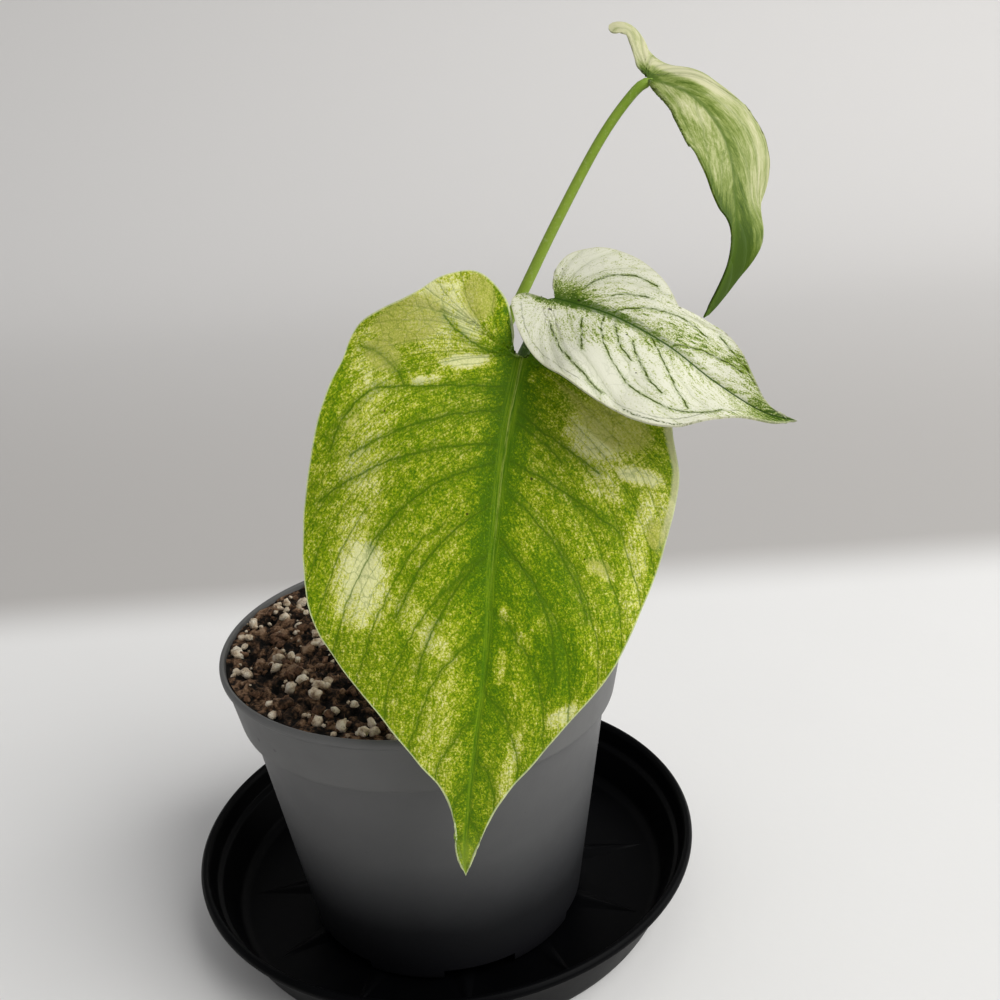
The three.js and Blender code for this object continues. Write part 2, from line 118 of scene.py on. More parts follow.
class Finish:
    """One procedural material, built a node at a time."""

    def __init__(self, name, roughness, specular):
        self.material = bpy.data.materials.new(name)
        self.material.use_nodes = True
        self.tree = self.material.node_tree
        self.shader = self.tree.nodes["Principled BSDF"]
        self.shader.inputs["Roughness"].default_value = roughness
        self.shader.inputs["Specular IOR Level"].default_value = specular

    def node(self, kind, **settings):
        made = self.tree.nodes.new("ShaderNode" + kind)
        for key, value in settings.items():
            setattr(made, key, value)
        return made

    def put(self, socket, value):
        """Links a node's output to the socket, or sets a plain value on it."""
        if isinstance(value, bpy.types.NodeSocket):
            self.tree.links.new(value, socket)
        else:
            socket.default_value = value

    def fill(self, made, **values):
        """Fills a node's inputs by their names, in which _ stands for a space."""
        for name, value in values.items():
            self.put(made.inputs[name.replace("_", " ")], value)
        return made

    def set(self, name, value):
        self.put(self.shader.inputs[name], value)

    def places(self):
        return self.node("TexCoord").outputs["Object"]

    def uv(self, name):
        return self.node("UVMap", uv_map=name).outputs["UV"]

    def value_of(self, name):
        return self.node("Attribute", attribute_name=name).outputs["Fac"]

    def apart(self, vector):
        return self.put_in("SeparateXYZ", vector).outputs

    def put_in(self, kind, *values, **settings):
        made = self.node(kind, **settings)
        for socket, value in zip(made.inputs, values):
            self.put(socket, value)
        return made

    def together(self, x, y, z=0.0):
        return self.put_in("CombineXYZ", x, y, z).outputs[0]

    def math(self, operation, *values, clamp=False):
        return self.put_in("Math", *values, operation=operation, use_clamp=clamp).outputs[0]

    def add(self, *values):
        total = values[0]
        for value in values[1:]:
            total = self.math("ADD", total, value)
        return total

    def times(self, *values):
        total = values[0]
        for value in values[1:]:
            total = self.math("MULTIPLY", total, value)
        return total

    def off(self, value, middle):
        """How far the value is from the middle one."""
        return self.math("ABSOLUTE", self.add(value, -middle))

    def step(self, value, low, high, start=0.0, end=1.0):
        """A soft step: start below low, end above high."""
        made = self.node("MapRange", interpolation_type="SMOOTHSTEP")
        self.fill(made, Value=value, From_Min=low, From_Max=high, To_Min=start, To_Max=end)
        return made.outputs["Result"]

    def grain(self, vector, size, detail=2.0, rough=0.5):
        """Soft noise, about 0 to 1, whose lumps are size millimetres wide."""
        made = self.node("TexNoise")
        self.fill(made, Vector=vector, Scale=1 / (size * MM), Detail=detail, Roughness=rough)
        return made.outputs["Fac"]

    def ruffled(self, vector, size, reach):
        """The vector pushed about by soft noise, by reach millimetres at most."""
        made = self.fill(self.node("TexNoise"), Vector=vector, Scale=1 / (size * MM))
        even = self.put_in("VectorMath", made.outputs["Color"], (0.5, 0.5, 0.5),
                           operation="SUBTRACT").outputs[0]
        push = self.node("VectorMath", operation="SCALE")
        self.fill(push, Vector=even, Scale=2 * reach * MM)
        return self.put_in("VectorMath", vector, push.outputs[0], operation="ADD").outputs[0]

    def cell_edges(self, vector, size, width):
        """The edges of cells size millimetres wide: 1 on an edge, 0 past its width."""
        made = self.node("TexVoronoi", feature="DISTANCE_TO_EDGE")
        self.fill(made, Vector=vector, Scale=1 / (size * MM))
        return self.step(made.outputs["Distance"], width / size, 0.0)

    def mix(self, amount, first, second, blend="MIX"):
        """Two colours mixed; the numbers are the colour sockets among all of the node's."""
        made = self.node("Mix", data_type="RGBA", blend_type=blend)
        for socket, value in ((0, amount), (6, first), (7, second)):
            self.put(made.inputs[socket], value)
        return made.outputs[2]

    def paint(self, colour, *layers):
        """The colour with others over it, each given as (where, how strongly, colour)."""
        for amount, strength, over in layers:
            colour = self.mix(self.times(amount, strength), colour, over)
        return colour

    def ramp(self, value, stops):
        """A colour that runs through (value, colour) stops."""
        made = self.put_in("ValToRGB", value)
        colours = made.color_ramp
        while len(colours.elements) < len(stops):
            colours.elements.new(0.5)
        for element, (place, colour) in zip(colours.elements, stops):
            element.position = place
            element.color = (*colour, 1)
        return made.outputs[0]

    def bump(self, height, depth, under=None):
        """Relief whose full height is depth millimetres, over the relief given as under."""
        made = self.fill(self.node("Bump"), Height=height, Strength=1.0, Distance=depth * MM)
        if under is not None:
            self.fill(made, Normal=under)
        self.set("Normal", made.outputs[0])
        return made.outputs[0]


def rgb(red, green, blue):
    return (red, green, blue, 1)


# Smooth lines through points

def line_through(points, power, steps=40):
    """Fine points on a Catmull-Rom curve; power 0 gives even knots and 0.5 centripetal ones."""
    points = [Vector(p) for p in points]
    ends = [2 * points[0] - points[1], *points, 2 * points[-1] - points[-2]]
    fine = []
    for p, q, r, s in zip(ends, ends[1:], ends[2:], ends[3:]):
        before, here, after = [(b - a).length ** power for a, b in ((p, q), (q, r), (r, s))]
        leave = (q - p) / before - (r - p) / (before + here) + (r - q) / here
        arrive = (r - q) / here - (s - q) / (here + after) + (s - r) / after
        for i in range(steps):
            t = i / steps
            h = t * t * (3 - 2 * t)
            fine.append(q * (1 - h) + r * h + leave * here * (t - 2 * t * t + t ** 3)
                        + arrive * here * (t ** 3 - t * t))
    fine.append(points[-1])
    return fine


class Route:
    """A line measured by length."""

    def __init__(self, points, power=0.0):
        self.points = line_through(points, power)
        self.marks = [0.0]
        for a, b in zip(self.points, self.points[1:]):
            self.marks.append(self.marks[-1] + (b - a).length)
        self.length = self.marks[-1]

    def at(self, distance):
        distance = min(max(distance, 0), self.length)
        low, high = 0, len(self.marks) - 1
        while high - low > 1:
            middle = (low + high) // 2
            if self.marks[middle] <= distance:
                low = middle
            else:
                high = middle
        part = (distance - self.marks[low]) / (self.marks[high] - self.marks[low])
        return self.points[low].lerp(self.points[high], part)

    def heading(self, distance):
        reach = 0.4
        return (self.at(distance + reach) - self.at(distance - reach)).normalized()


def between(pairs, place):
    """A value that eases from one (place, value) pair to the next."""
    if place <= pairs[0][0]:
        return pairs[0][1]
    for (a, low), (b, high) in zip(pairs, pairs[1:]):
        if place <= b:
            part = (place - a) / (b - a)
            return low + (high - low) * part * part * (3 - 2 * part)
    return pairs[-1][1]


# Camera, lights and floor

CAMERA_PLACE = Vector((24.77, -315.47, 252.0))
CAMERA_DOWN, CAMERA_ROLL = 20.78, -4.10
LENS, SENSOR = 41.4, 36


def set_camera():
    """The camera looks down on the plant from the front, a little rolled."""
    data = bpy.data.cameras.new("camera")
    data.lens = LENS
    data.sensor_width = SENSOR
    data.clip_start = 0.01
    camera = bpy.data.objects.new("camera", data)
    bpy.context.scene.collection.objects.link(camera)
    pitch, roll = math.radians(90 - CAMERA_DOWN), math.radians(CAMERA_ROLL)
    turn = Matrix.Rotation(pitch, 4, "X") @ Matrix.Rotation(roll, 4, "Z")
    camera.matrix_world = Matrix.Translation(CAMERA_PLACE * MM) @ turn
    bpy.context.scene.camera = camera


def area_light(name, place, aim, size, power, colour=(1, 1, 1)):
    """A round soft light; its place, aim and size are in metres and its power in watts."""
    data = bpy.data.lights.new(name, "AREA")
    data.shape = "DISK"
    data.size = size
    data.energy = power
    data.color = colour
    light = bpy.data.objects.new(name, data)
    light.location = place
    light.rotation_euler = (Vector(aim) - Vector(place)).to_track_quat("-Z", "Y").to_euler()
    bpy.context.scene.collection.objects.link(light)


def set_lights():
    area_light("key_lamp", (2.1, -1.15, 2.3), (0, 0, 0.1), 3.0, 111, (1.0, 0.995, 0.98))
    area_light("side_lamp", (1.5, 0.25, 0.45), (0, 0, 0.06), 0.7, 3.5)
    area_light("backdrop_lamp", (0.35, 0.55, 1.5), (0.15, 1.3, 0.9), 0.9, 1.8)
    world = bpy.data.worlds.new("studio")
    world.use_nodes = True
    sky = world.node_tree.nodes["Background"].inputs
    sky["Color"].default_value = rgb(0.88, 0.88, 0.89)
    sky["Strength"].default_value = 0.44
    bpy.context.scene.world = world
    bpy.context.scene.view_settings.view_transform = "Standard"


def set_floor():
    """A pale floor that turns up into a backdrop far behind, with its sizes in metres."""
    deselect_all()
    bpy.ops.mesh.primitive_grid_add(x_subdivisions=1, y_subdivisions=60, size=1)
    floor = bpy.context.object
    floor.name = "floor"
    width, depth, front = 8, 5.0, -3.0
    bend, start = 0.5, 0.9
    for vertex in floor.data.vertices:
        along = (vertex.co.y + 0.5) * depth + front
        over = max(0.0, along - start)
        turn = min(over / bend, math.pi / 2)
        rise = max(0.0, over - bend * math.pi / 2)
        vertex.co.x *= width
        vertex.co.y = min(along, start) + bend * math.sin(turn)
        vertex.co.z = bend * (1 - math.cos(turn)) + rise
    finish = Finish("floor_paint", 0.7, 0.2)
    place = finish.places()
    y = finish.apart(place)["Y"]
    far = finish.add(finish.step(y, 0.19, 0.26), finish.times(finish.grain(place, 60), 0.06))
    backdrop = finish.mix(finish.step(y, 0.26, 1.2), rgb(0.44, 0.425, 0.41),
                          rgb(0.60, 0.59, 0.58))
    finish.set("Base Color", finish.mix(far, rgb(0.78, 0.775, 0.765), backdrop))
    finish.bump(finish.grain(place, 4, 3), 0.05)
    floor.data.materials.append(finish.material)
    smooth(floor, 35)


# Saucer and pot

def turned(name, profile, centre=(0, 0), sides=192):
    """A turned form: a ring is drawn on through (radius, height) pairs, and both ends closed."""
    deselect_all()
    x, y = centre[0] * MM, centre[1] * MM
    radius, height = profile[0]
    bpy.ops.mesh.primitive_circle_add(vertices=sides, radius=radius * MM, fill_type="TRIFAN",
                                      location=(x, y, height * MM))
    piece = bpy.context.object
    piece.name = name
    with edit_mode(piece):
        bpy.ops.mesh.region_to_loop()
        for next_radius, next_height in profile[1:]:
            bpy.ops.mesh.extrude_edges_move()
            grow = next_radius / radius
            bpy.ops.transform.resize(value=(grow, grow, 1), center_override=(x, y, 0))
            bpy.ops.transform.translate(value=(0, 0, (next_height - height) * MM))
            radius, height = next_radius, next_height
        bpy.ops.mesh.extrude_edges_move()
        bpy.ops.mesh.merge(type="CENTER")
        bpy.ops.mesh.select_all(action="SELECT")
        bpy.ops.mesh.normals_make_consistent(inside=False)
    settle(piece)
    return piece


def bowed(start, middle, end, part):
    """The place on a curve that leaves start toward middle and comes to end from it."""
    left = 1 - part
    return start * left ** 2 + middle * 2 * part * left + end * part * part


def eased(profile, rounds):
    """The profile with its corners cut to short arcs: rounds holds the size for each corner."""
    made = [Vector(profile[0])]
    for before, corner, after, size in zip(profile, profile[1:], profile[2:], rounds):
        before, corner, after = Vector(before), Vector(corner), Vector(after)
        if not size:
            made.append(corner)
            continue
        start = corner + (before - corner).normalized() * size
        end = corner + (after - corner).normalized() * size
        made += [bowed(start, corner, end, i / 4) for i in range(5)]
    made.append(Vector(profile[-1]))
    return [tuple(p) for p in made]


def new_cube(cuts=0):
    """A cube one metre wide, for shaping, with each edge cut into equal parts."""
    deselect_all()
    bpy.ops.mesh.primitive_cube_add(size=1)
    cube = bpy.context.object
    if cuts:
        with edit_mode(cube):
            bpy.ops.mesh.subdivide(number_cuts=cuts)
    return cube


RIBS, FIRST_RIB = 12, 5
RIB_START, RIB_REACH, RIB_WIDTH = 22, 42, 9.6


def saucer_rib(turn):
    """A low round-backed rib on the saucer's floor, narrower toward the wall."""
    rib = new_cube(11)
    for vertex in rib.data.vertices:
        x, y, z = vertex.co
        reach = RIB_START + RIB_REACH * (x + 0.5)
        narrow = min(1, (64.6 - reach) / 18.5)
        ridge = 1.1 * math.cos(math.pi * y) ** 2 * math.sqrt(narrow)
        height = 1.8 + (0.6 + ridge) * (z + 0.5)
        vertex.co = Vector((reach, RIB_WIDTH * y * narrow, height)) * MM
    rib.rotation_euler = (0, 0, math.radians(turn))
    settle(rib)
    return rib


def make_saucer():
    profile = [(2, 0), (66.3, 0), (68.6, 0.9), (70.1, 3.5), (74.8, 13.6), (76.6, 17.6),
               (77.9, 18.7), (79.1, 19.3), (79.15, 20.6), (78.2, 21.75), (77.1, 21.6),
               (76.2, 20.2), (74.9, 15.2), (73.2, 14.3), (69.2, 3.9), (66.9, 2.5), (2, 2.5)]
    rounds = [1.2, 0.9, 1.2, 0, 1.0, 0.5, 0.45, 0.45, 0.5, 0.4, 0.5, 0.6, 0.6, 1.2, 1.0]
    saucer = turned("saucer_body", eased(profile, rounds))
    ribs = [saucer_rib(FIRST_RIB + 360 / RIBS * i) for i in range(RIBS)]
    saucer = join("saucer_body", [saucer, *ribs])
    smooth(saucer, 40)

    finish = Finish("black_saucer_plastic", 0.42, 0.04)
    place = finish.places()
    fine, broad = finish.grain(place, 0.5, 3), finish.grain(place, 14, 3)
    dust = finish.step(finish.grain(place, 1.1, 2), 0.72, 0.80)
    colour = finish.mix(broad, rgb(0.0004, 0.0005, 0.0006), rgb(0.0018, 0.0019, 0.0024))
    finish.set("Base Color", finish.mix(finish.times(dust, 0.3), colour, rgb(0.012, 0.012, 0.012)))
    finish.set("Roughness", finish.add(0.34, finish.times(broad, 0.14), finish.times(dust, 0.2)))
    finish.bump(fine, 0.02)
    finish_piece(saucer, finish.material, "saucer")


# The pot stands off the saucer's centre. Its drain notches start at a turn in degrees, and its
# moulding nub is placed from its axis.
POT_CENTRE, POT_FOOT = (-0.8, -8.4), 4.0
DRAINS, FIRST_DRAIN = 6, -76
DRAIN_REACH, DRAIN_SIZE = 41.9, Vector((9, 21.4, 4))
NUB, NUB_RADIUS = (49.8, -4.4, 55.5), 0.55
SPECKS = [(-45.5, -44.5, 84.5), (-40.4, -50.2, 84.3)]


def drain_cutter(turn):
    """A block that cuts one drain notch into the pot's foot."""
    cutter = new_cube()
    cutter.scale = DRAIN_SIZE * MM
    cutter.rotation_euler = (0, 0, turn)
    cutter.location = Vector((POT_CENTRE[0] + DRAIN_REACH * math.cos(turn),
                              POT_CENTRE[1] + DRAIN_REACH * math.sin(turn), POT_FOOT + 1)) * MM
    settle(cutter)
    return cutter


def make_pot():
    outer = [(2, 5.6), (39.4, 5.6), (39.4, 4.0), (42.2, 4.0), (42.6, 5.6), (53.6, 77.6),
             (55.8, 77.7), (56.15, 78.6), (58.85, 92.7), (59.85, 93.5), (60.0, 94.7),
             (59.4, 95.85), (58.5, 95.5), (57.6, 91.9), (54.8, 79.1), (52.4, 76.5),
             (41.2, 6.7), (2, 6.7)]
    rounds = [0, 0.3, 0.35, 0.5, 0.5, 0.35, 0.5, 0.5, 0.4, 0.5, 0.5, 0.4, 0.5, 0.8, 0.8, 0.8]
    pot = turned("pot_shell", eased(outer, rounds), POT_CENTRE)
    cutter = join("cutter", [drain_cutter(math.radians(FIRST_DRAIN + 360 / DRAINS * i))
                             for i in range(DRAINS)])
    apply_modifier(pot, "BOOLEAN", object=cutter, operation="DIFFERENCE", solver="EXACT")
    bpy.data.objects.remove(cutter)
    deselect_all()
    bpy.ops.mesh.primitive_uv_sphere_add(segments=12, ring_count=6, radius=NUB_RADIUS * MM)
    nub = bpy.context.object
    nub.location = Vector((POT_CENTRE[0] + NUB[0], POT_CENTRE[1] + NUB[1], NUB[2])) * MM
    settle(nub)
    pot = join("pot_shell", [pot, nub])
    smooth(pot, 40)

    finish = Finish("grey_pot_plastic", 0.48, 0.25)
    place = finish.places()
    z = finish.apart(place)["Z"]
    level = finish.add(z, finish.times(finish.grain(place, 40, 2), 0.012), -0.006)
    # The body runs darker toward the foot: painted shade, from the pot's own mid grey at the collar
    # to near black at the foot.
    body = finish.ramp(finish.times(level, 10), [
        (0.06, (0.008, 0.008, 0.010)), (0.22, (0.019, 0.0195, 0.021)),
        (0.34, (0.046, 0.047, 0.049)), (0.50, (0.088, 0.089, 0.090)),
        (0.755, (0.110, 0.110, 0.110)), (0.785, (0.122, 0.122, 0.120))])
    cloud = finish.grain(place, 9, 3)
    shade = finish.mix(finish.times(cloud, 0.16), body, rgb(0.10, 0.10, 0.10), "MULTIPLY")
    speck = finish.step(finish.grain(place, 0.7, 1), 0.79, 0.82)
    for spot in SPECKS:
        away = finish.put_in("VectorMath", place, Vector(spot) * MM, operation="DISTANCE")
        speck = finish.add(speck, finish.step(away.outputs["Value"], 0.0008, 0.0004))
    finish.set("Base Color", finish.mix(finish.times(speck, 0.6), shade, rgb(0.02, 0.02, 0.02)))
    finish.set("Roughness", finish.add(0.42, finish.times(cloud, 0.12)))
    skin = finish.bump(finish.grain(place, 0.35, 2), 0.012)
    finish.bump(finish.grain(place, 3.5, 3), 0.05, under=skin)
    finish_piece(pot, finish.material, "pot")


# Soil, with its heights and then its reaches from the pot's axis

SOIL_TOP, SOIL_EDGE, HIGHEST_GRAIN = 94.7, 94.6, 97.2
SOIL_RADIUS, STREWN_RADIUS = 57.9, 57.0
STEM, STEM_CLEARANCE = Vector((1, -8)), 7.0
GOLDEN_TURN = 2.39996


def soil_height(x, y):
    """The gentle waves of the soil's top, as the solid has them."""
    long = math.sin(0.31 * x + 1.1) * math.cos(0.27 * y - 0.4)
    short = math.sin(0.83 * x - 0.52 * y) + math.cos(0.47 * x + 0.91 * y + 2)
    return SOIL_TOP + 0.5 * (long + 0.7 * short)


def crumbs(x, y):
    """The soil's own clumps and pits, in millimetres over the uneven height."""
    lump = noise.noise(Vector((x, y, 3)) * 0.20)
    crumb = noise.noise(Vector((x, y, 9)) * 0.48)
    fine = noise.noise(Vector((x, y, 5)) * 1.2)
    return 1.3 * lump + 1.5 * crumb + 0.9 * fine - 0.4


def from_axis(x, y):
    return math.hypot(x - POT_CENTRE[0], y - POT_CENTRE[1])


def make_soil():
    """The fill of the pot: its top is drawn in to the middle in fine rings, then crumbled."""
    rings, sides = 76, 240
    profile = [(2, 7.0), (40.7, 7.0), (51.9, 76.5), (54.4, 79.1), (57.0, 92.0),
               (SOIL_RADIUS, SOIL_EDGE)]
    profile += [(SOIL_RADIUS * (1 - i / rings), SOIL_TOP) for i in range(1, rings - 1)]
    soil = turned("soil_bed", profile, POT_CENTRE, sides)
    dip = soil.data.attributes.new("dip", "FLOAT", "POINT")
    for vertex in soil.data.vertices:
        x, y, z = vertex.co / MM
        if z < 93:
            continue
        reach = from_axis(x, y)
        inside = min(1, max(0, (58 - reach) / 5))
        over = crumbs(x, y)
        dip.data[vertex.index].value = over
        vertex.co.z = ((soil_height(x, y) - 0.2) * inside + SOIL_EDGE * (1 - inside)
                       + over * (0.35 + 0.65 * inside)) * MM
        if reach < 57.2:
            vertex.co.x += 0.5 * MM * noise.noise(Vector((x, y, 20)) * 0.8)
            vertex.co.y += 0.5 * MM * noise.noise(Vector((x, y, 40)) * 0.8)
    smooth(soil, 60)
    finish = Finish("peat_and_coir", 0.9, 0.2)
    place = finish.places()
    lumps, crumb = finish.grain(place, 4, 4, 0.6), finish.grain(place, 1.1, 4, 0.7)
    fine = finish.grain(place, 0.35, 3, 0.6)
    # The colour follows the crumbs' height: painted shade, darker in the pits and lighter on the
    # tops.
    height = finish.times(finish.value_of("dip"), 0.16)
    both = finish.add(finish.times(lumps, 0.6), finish.times(crumb, 0.6), height, -0.08)
    finish.set("Base Color", finish.ramp(both, [
        (0.36, (0.004, 0.003, 0.002)), (0.45, (0.034, 0.020, 0.012)),
        (0.52, (0.130, 0.070, 0.038)), (0.61, (0.300, 0.175, 0.100)),
        (0.73, (0.470, 0.320, 0.210))]))
    finish.bump(fine, 0.4, under=finish.bump(crumb, 1.2))
    finish_piece(soil, finish.material, "soil")


def pebble(seed, cuts, dents):
    """A rough grain about a millimetre wide: a cube rounded off, then dented by noise."""
    grain = new_cube(cuts)
    for vertex in grain.data.vertices:
        way = vertex.co.normalized()
        dent = noise.noise(way * 1.2 + Vector((seed, 2 * seed, 0)))
        knob = noise.noise(way * 2.6 + Vector((0, seed, 3 * seed)))
        vertex.co = way / 2 * MM * (1 + dents * (dent + 0.6 * knob))
    bpy.ops.object.shade_smooth()
    return grain


def fibre(seed):
    """A short bent strand, about a millimetre long until it is scaled."""
    dice = random.Random(seed)
    points = [(0.35 * (i - 1.5), 0.16 * dice.uniform(-1, 1), 0.12 * dice.uniform(-1, 1))
              for i in range(4)]
    return tube("strand", Route(points), lambda distance, turn: 0.022, sides=4, steps=7)


def scatter(name, models, count, sizes, seed, flat, sink, clumped=0.0, tilt=0.6):
    """Copies of the models strewn over the soil but for the stem's foot, as one piece. They are
    scaled to between the two sizes, flattened between the two shares, and sunk by a share."""
    dice = random.Random(seed)
    copies = []
    for i in range(count):
        reach = STREWN_RADIUS * math.sqrt((i + dice.random()) / count)
        turn = i * GOLDEN_TURN + 0.8 * dice.random()
        x, y = POT_CENTRE[0] + reach * math.cos(turn), POT_CENTRE[1] + reach * math.sin(turn)
        if math.hypot(x - STEM.x, y - STEM.y) < STEM_CLEARANCE:
            continue
        crowd = noise.noise(Vector((x, y, seed)) * 0.11)
        if crowd < clumped * (dice.random() - 0.6):
            continue
        size = sizes[0] + (sizes[1] - sizes[0]) * dice.random() ** 2
        shape = Vector((1, dice.uniform(*flat), dice.uniform(*flat))) * size
        if SOIL_RADIUS - from_axis(x, y) < size / 2:
            continue
        height = min(soil_height(x, y) + 0.4 * crumbs(x, y) + size * (0.5 - sink),
                     HIGHEST_GRAIN - 0.55 * size)
        model = models[dice.randrange(len(models))]
        turned_by = Euler([dice.uniform(-tilt, tilt), dice.uniform(-tilt, tilt),
                           dice.uniform(0, 6.3)])
        place = Matrix.LocRotScale(Vector((x, y, height)) * MM, turned_by, shape)
        copy = model.copy()
        copy.data = model.data.copy()
        copy.data.transform(place)
        bpy.context.scene.collection.objects.link(copy)
        copies.append(copy)
    piece = join(name, copies)
    for model in models:
        bpy.data.objects.remove(model)
    return piece


def make_perlite():
    models = [pebble(3.7 * k + 1, cuts=2, dents=0.38) for k in range(10)]
    perlite = scatter("perlite_grains", models, 1100, (0.7, 3.9), 11, flat=(0.55, 1.1),
                      sink=0.3, clumped=0.6)
    finish = Finish("perlite_grain", 0.85, 0.2)
    place = finish.places()
    stain, pores = finish.grain(place, 2.4, 3, 0.6), finish.grain(place, 0.5, 3, 0.6)
    colour = finish.ramp(stain, [
        (0.26, (0.150, 0.095, 0.058)), (0.38, (0.420, 0.305, 0.205)),
        (0.50, (0.720, 0.590, 0.430)), (0.68, (0.880, 0.800, 0.660))])
    pit = finish.step(pores, 0.44, 0.30)
    finish.set("Base Color", finish.mix(finish.times(pit, 0.6), colour, rgb(0.09, 0.055, 0.04)))
    finish.bump(pores, 0.35)
    finish_piece(perlite, finish.material)


def make_bark():
    models = [pebble(5.1 * k + 2, cuts=1, dents=0.7) for k in range(6)]
    bark = scatter("bark_chips", models, 900, (0.8, 4.4), 5, flat=(0.35, 0.8), sink=0.3)
    finish = Finish("bark_chip", 0.85, 0.2)
    place = finish.places()
    tone, streak = finish.grain(place, 3.0, 3, 0.6), finish.grain(place, 0.7, 3, 0.6)
    both = finish.add(finish.times(tone, 0.7), finish.times(streak, 0.3))
    finish.set("Base Color", finish.ramp(both, [
        (0.34, (0.009, 0.006, 0.004)), (0.45, (0.066, 0.036, 0.020)),
        (0.56, (0.185, 0.098, 0.056)), (0.70, (0.380, 0.240, 0.150))]))
    finish.bump(streak, 0.5)
    finish_piece(bark, finish.material)


def make_fibres():
    fibres = scatter("coir_fibres", [fibre(k) for k in range(6)], 260, (3.0, 8.0), 23,
                     flat=(0.9, 1.1), sink=0.42, tilt=0.35)
    finish = Finish("coir_fibre", 0.8, 0.2)
    tone = finish.grain(finish.places(), 4, 2)
    finish.set("Base Color", finish.mix(tone, rgb(0.035, 0.018, 0.010), rgb(0.24, 0.13, 0.07)))
    finish_piece(fibres, finish.material)


# Stem and petioles

def tube(name, route, radius_at, sides=24, steps=90):
    """A round stalk: a grid wrapped round its route, with the ends closed. Its own map runs
    round it and along it in metres."""
    deselect_all()
    bpy.ops.mesh.primitive_grid_add(x_subdivisions=sides, y_subdivisions=steps, size=1)
    stalk = bpy.context.object
    stalk.name = name
    stalk.data.uv_layers[0].name = "stalk"
    across = Vector((1, 0, 0))
    rings = []
    for i in range(steps + 1):
        distance = route.length * i / steps
        heading = route.heading(distance)
        across = (across - heading * across.dot(heading)).normalized()
        rings.append((route.at(distance), across.copy(), heading.cross(across), distance))
    for vertex in stalk.data.vertices:
        turn = (vertex.co.x + 0.5) * 2 * math.pi
        centre, one, two, distance = rings[round((vertex.co.y + 0.5) * steps)]
        radius = radius_at(distance, turn)
        vertex.co = (centre + (one * math.cos(turn) + two * math.sin(turn)) * radius) * MM
    for corner in stalk.data.uv_layers[0].data:
        corner.uv.y *= route.length * MM
        corner.uv.x *= 0.012
    clean_mesh(stalk, 0.002)
    with edit_mode(stalk, "DESELECT"):
        bpy.ops.mesh.select_mode(type="EDGE")
        bpy.ops.mesh.select_non_manifold()
        bpy.ops.mesh.edge_face_add()
        bpy.ops.mesh.select_mode(type="VERT")
        bpy.ops.mesh.select_all(action="SELECT")
        bpy.ops.mesh.normals_make_consistent(inside=False)
    smooth(stalk, 50)
    return stalk


def stalk_finish(name, young, deep, darker):
    """Green stalk skin: fine lengthwise streaks and pale flecks. The last value says from where
    to where along the stalk it darkens, and how far."""
    finish = Finish(name, 0.42, 0.26)
    place, stalk = finish.places(), finish.uv("stalk")
    around, along = finish.apart(stalk)[:2]
    streaks = finish.grain(finish.together(finish.times(around, 8), along), 1.1, 3, 0.6)
    flecks = finish.step(finish.grain(place, 0.9, 3, 0.7), 0.56, 0.66)
    blotch = finish.grain(place, 7, 3)
    low, high, amount = darker
    top = finish.times(finish.step(along, low * MM, high * MM), amount)
    deepness = finish.math("ADD", finish.add(finish.times(streaks, 0.6), finish.times(blotch, 0.5),
                                             top), -0.3, clamp=True)
    colour = finish.mix(deepness, young, deep)
    finish.set("Base Color", finish.mix(finish.times(flecks, 0.35), colour,
                                        rgb(0.42, 0.52, 0.20)))
    finish.bump(streaks, 0.12)
    return finish.material


LOW_SCAR, HIGH_SCAR = 95.2, 104.2


def make_stem():
    """The short stem: a turned form with two scars, a little uneven."""
    profile = [(0.6, 62), (3.2, 62), (4.2, 66), (4.4, 88), (5.0, 91.5), (5.25, 94.6), (4.9, 95.6),
               (4.25, 96.6), (4.3, 101), (4.85, 103.2), (4.3, 104.6), (3.85, 105.8), (3.5, 109.2),
               (2.2, 111.4), (0.6, 111.9)]
    rounds = [0.3, 1, 2, 1, 0.8, 0.3, 0.4, 1, 0.7, 0.5, 0.5, 1, 0.7]
    stem = turned("stem_stub", eased(profile, rounds), STEM, sides=48)
    for vertex in stem.data.vertices:
        x, y, z = vertex.co / MM
        swell = 1 + 0.05 * noise.noise(Vector((x, y, z)) * 0.3)
        vertex.co.x = (STEM.x + (x - STEM.x) * swell) * MM
        vertex.co.y = (STEM.y + (y - STEM.y) * swell) * MM
    smooth(stem, 60)
    finish = Finish("stem_skin", 0.5, 0.4)
    place = finish.places()
    z = finish.apart(place)["Z"]
    cloud, fine = finish.grain(place, 4, 3, 0.6), finish.grain(place, 0.7, 3, 0.6)
    green = finish.mix(cloud, rgb(0.10, 0.17, 0.02), rgb(0.24, 0.32, 0.06))
    corky = finish.mix(fine, rgb(0.10, 0.06, 0.03), rgb(0.24, 0.17, 0.09))
    bark = finish.add(finish.step(finish.off(z, LOW_SCAR * MM), 0.0012, 0.0004),
                      finish.step(finish.off(z, HIGH_SCAR * MM), 0.0012, 0.0004),
                      finish.step(z, 0.093, 0.089))
    finish.set("Base Color", finish.mix(finish.math("MINIMUM", bark, 1.0), green, corky))
    finish.bump(finish.add(fine, finish.times(cloud, 0.6)), 0.3)
    finish_piece(stem, finish.material, "stem")


FRONT_PETIOLE = [(1, -11, 97), (3, -17, 112), (8, -22, 128), (18, -28, 150), (26, -34, 168),
                 (30, -40, 178.5), (31.4, -45.6, 182.4)]
SIDE_PETIOLE = [(4, -7, 102), (9, -7, 116), (14, -9, 132), (22, -14, 154), (29, -20, 171),
                (34, -26, 182.5), (38.6, -31.4, 191.4), (43.2, -37, 197.2)]
HIGH_PETIOLE = [(-1, -6, 106), (-2, -3, 116), (1, -3, 128), (9, -5, 146), (18, -7, 163),
                (27, -7, 180), (35, -6, 194), (45.4, -3, 211.8), (57.8, -1, 231.5),
                (67.1, -0.2, 242.6), (71.6, -0.2, 245.1)]


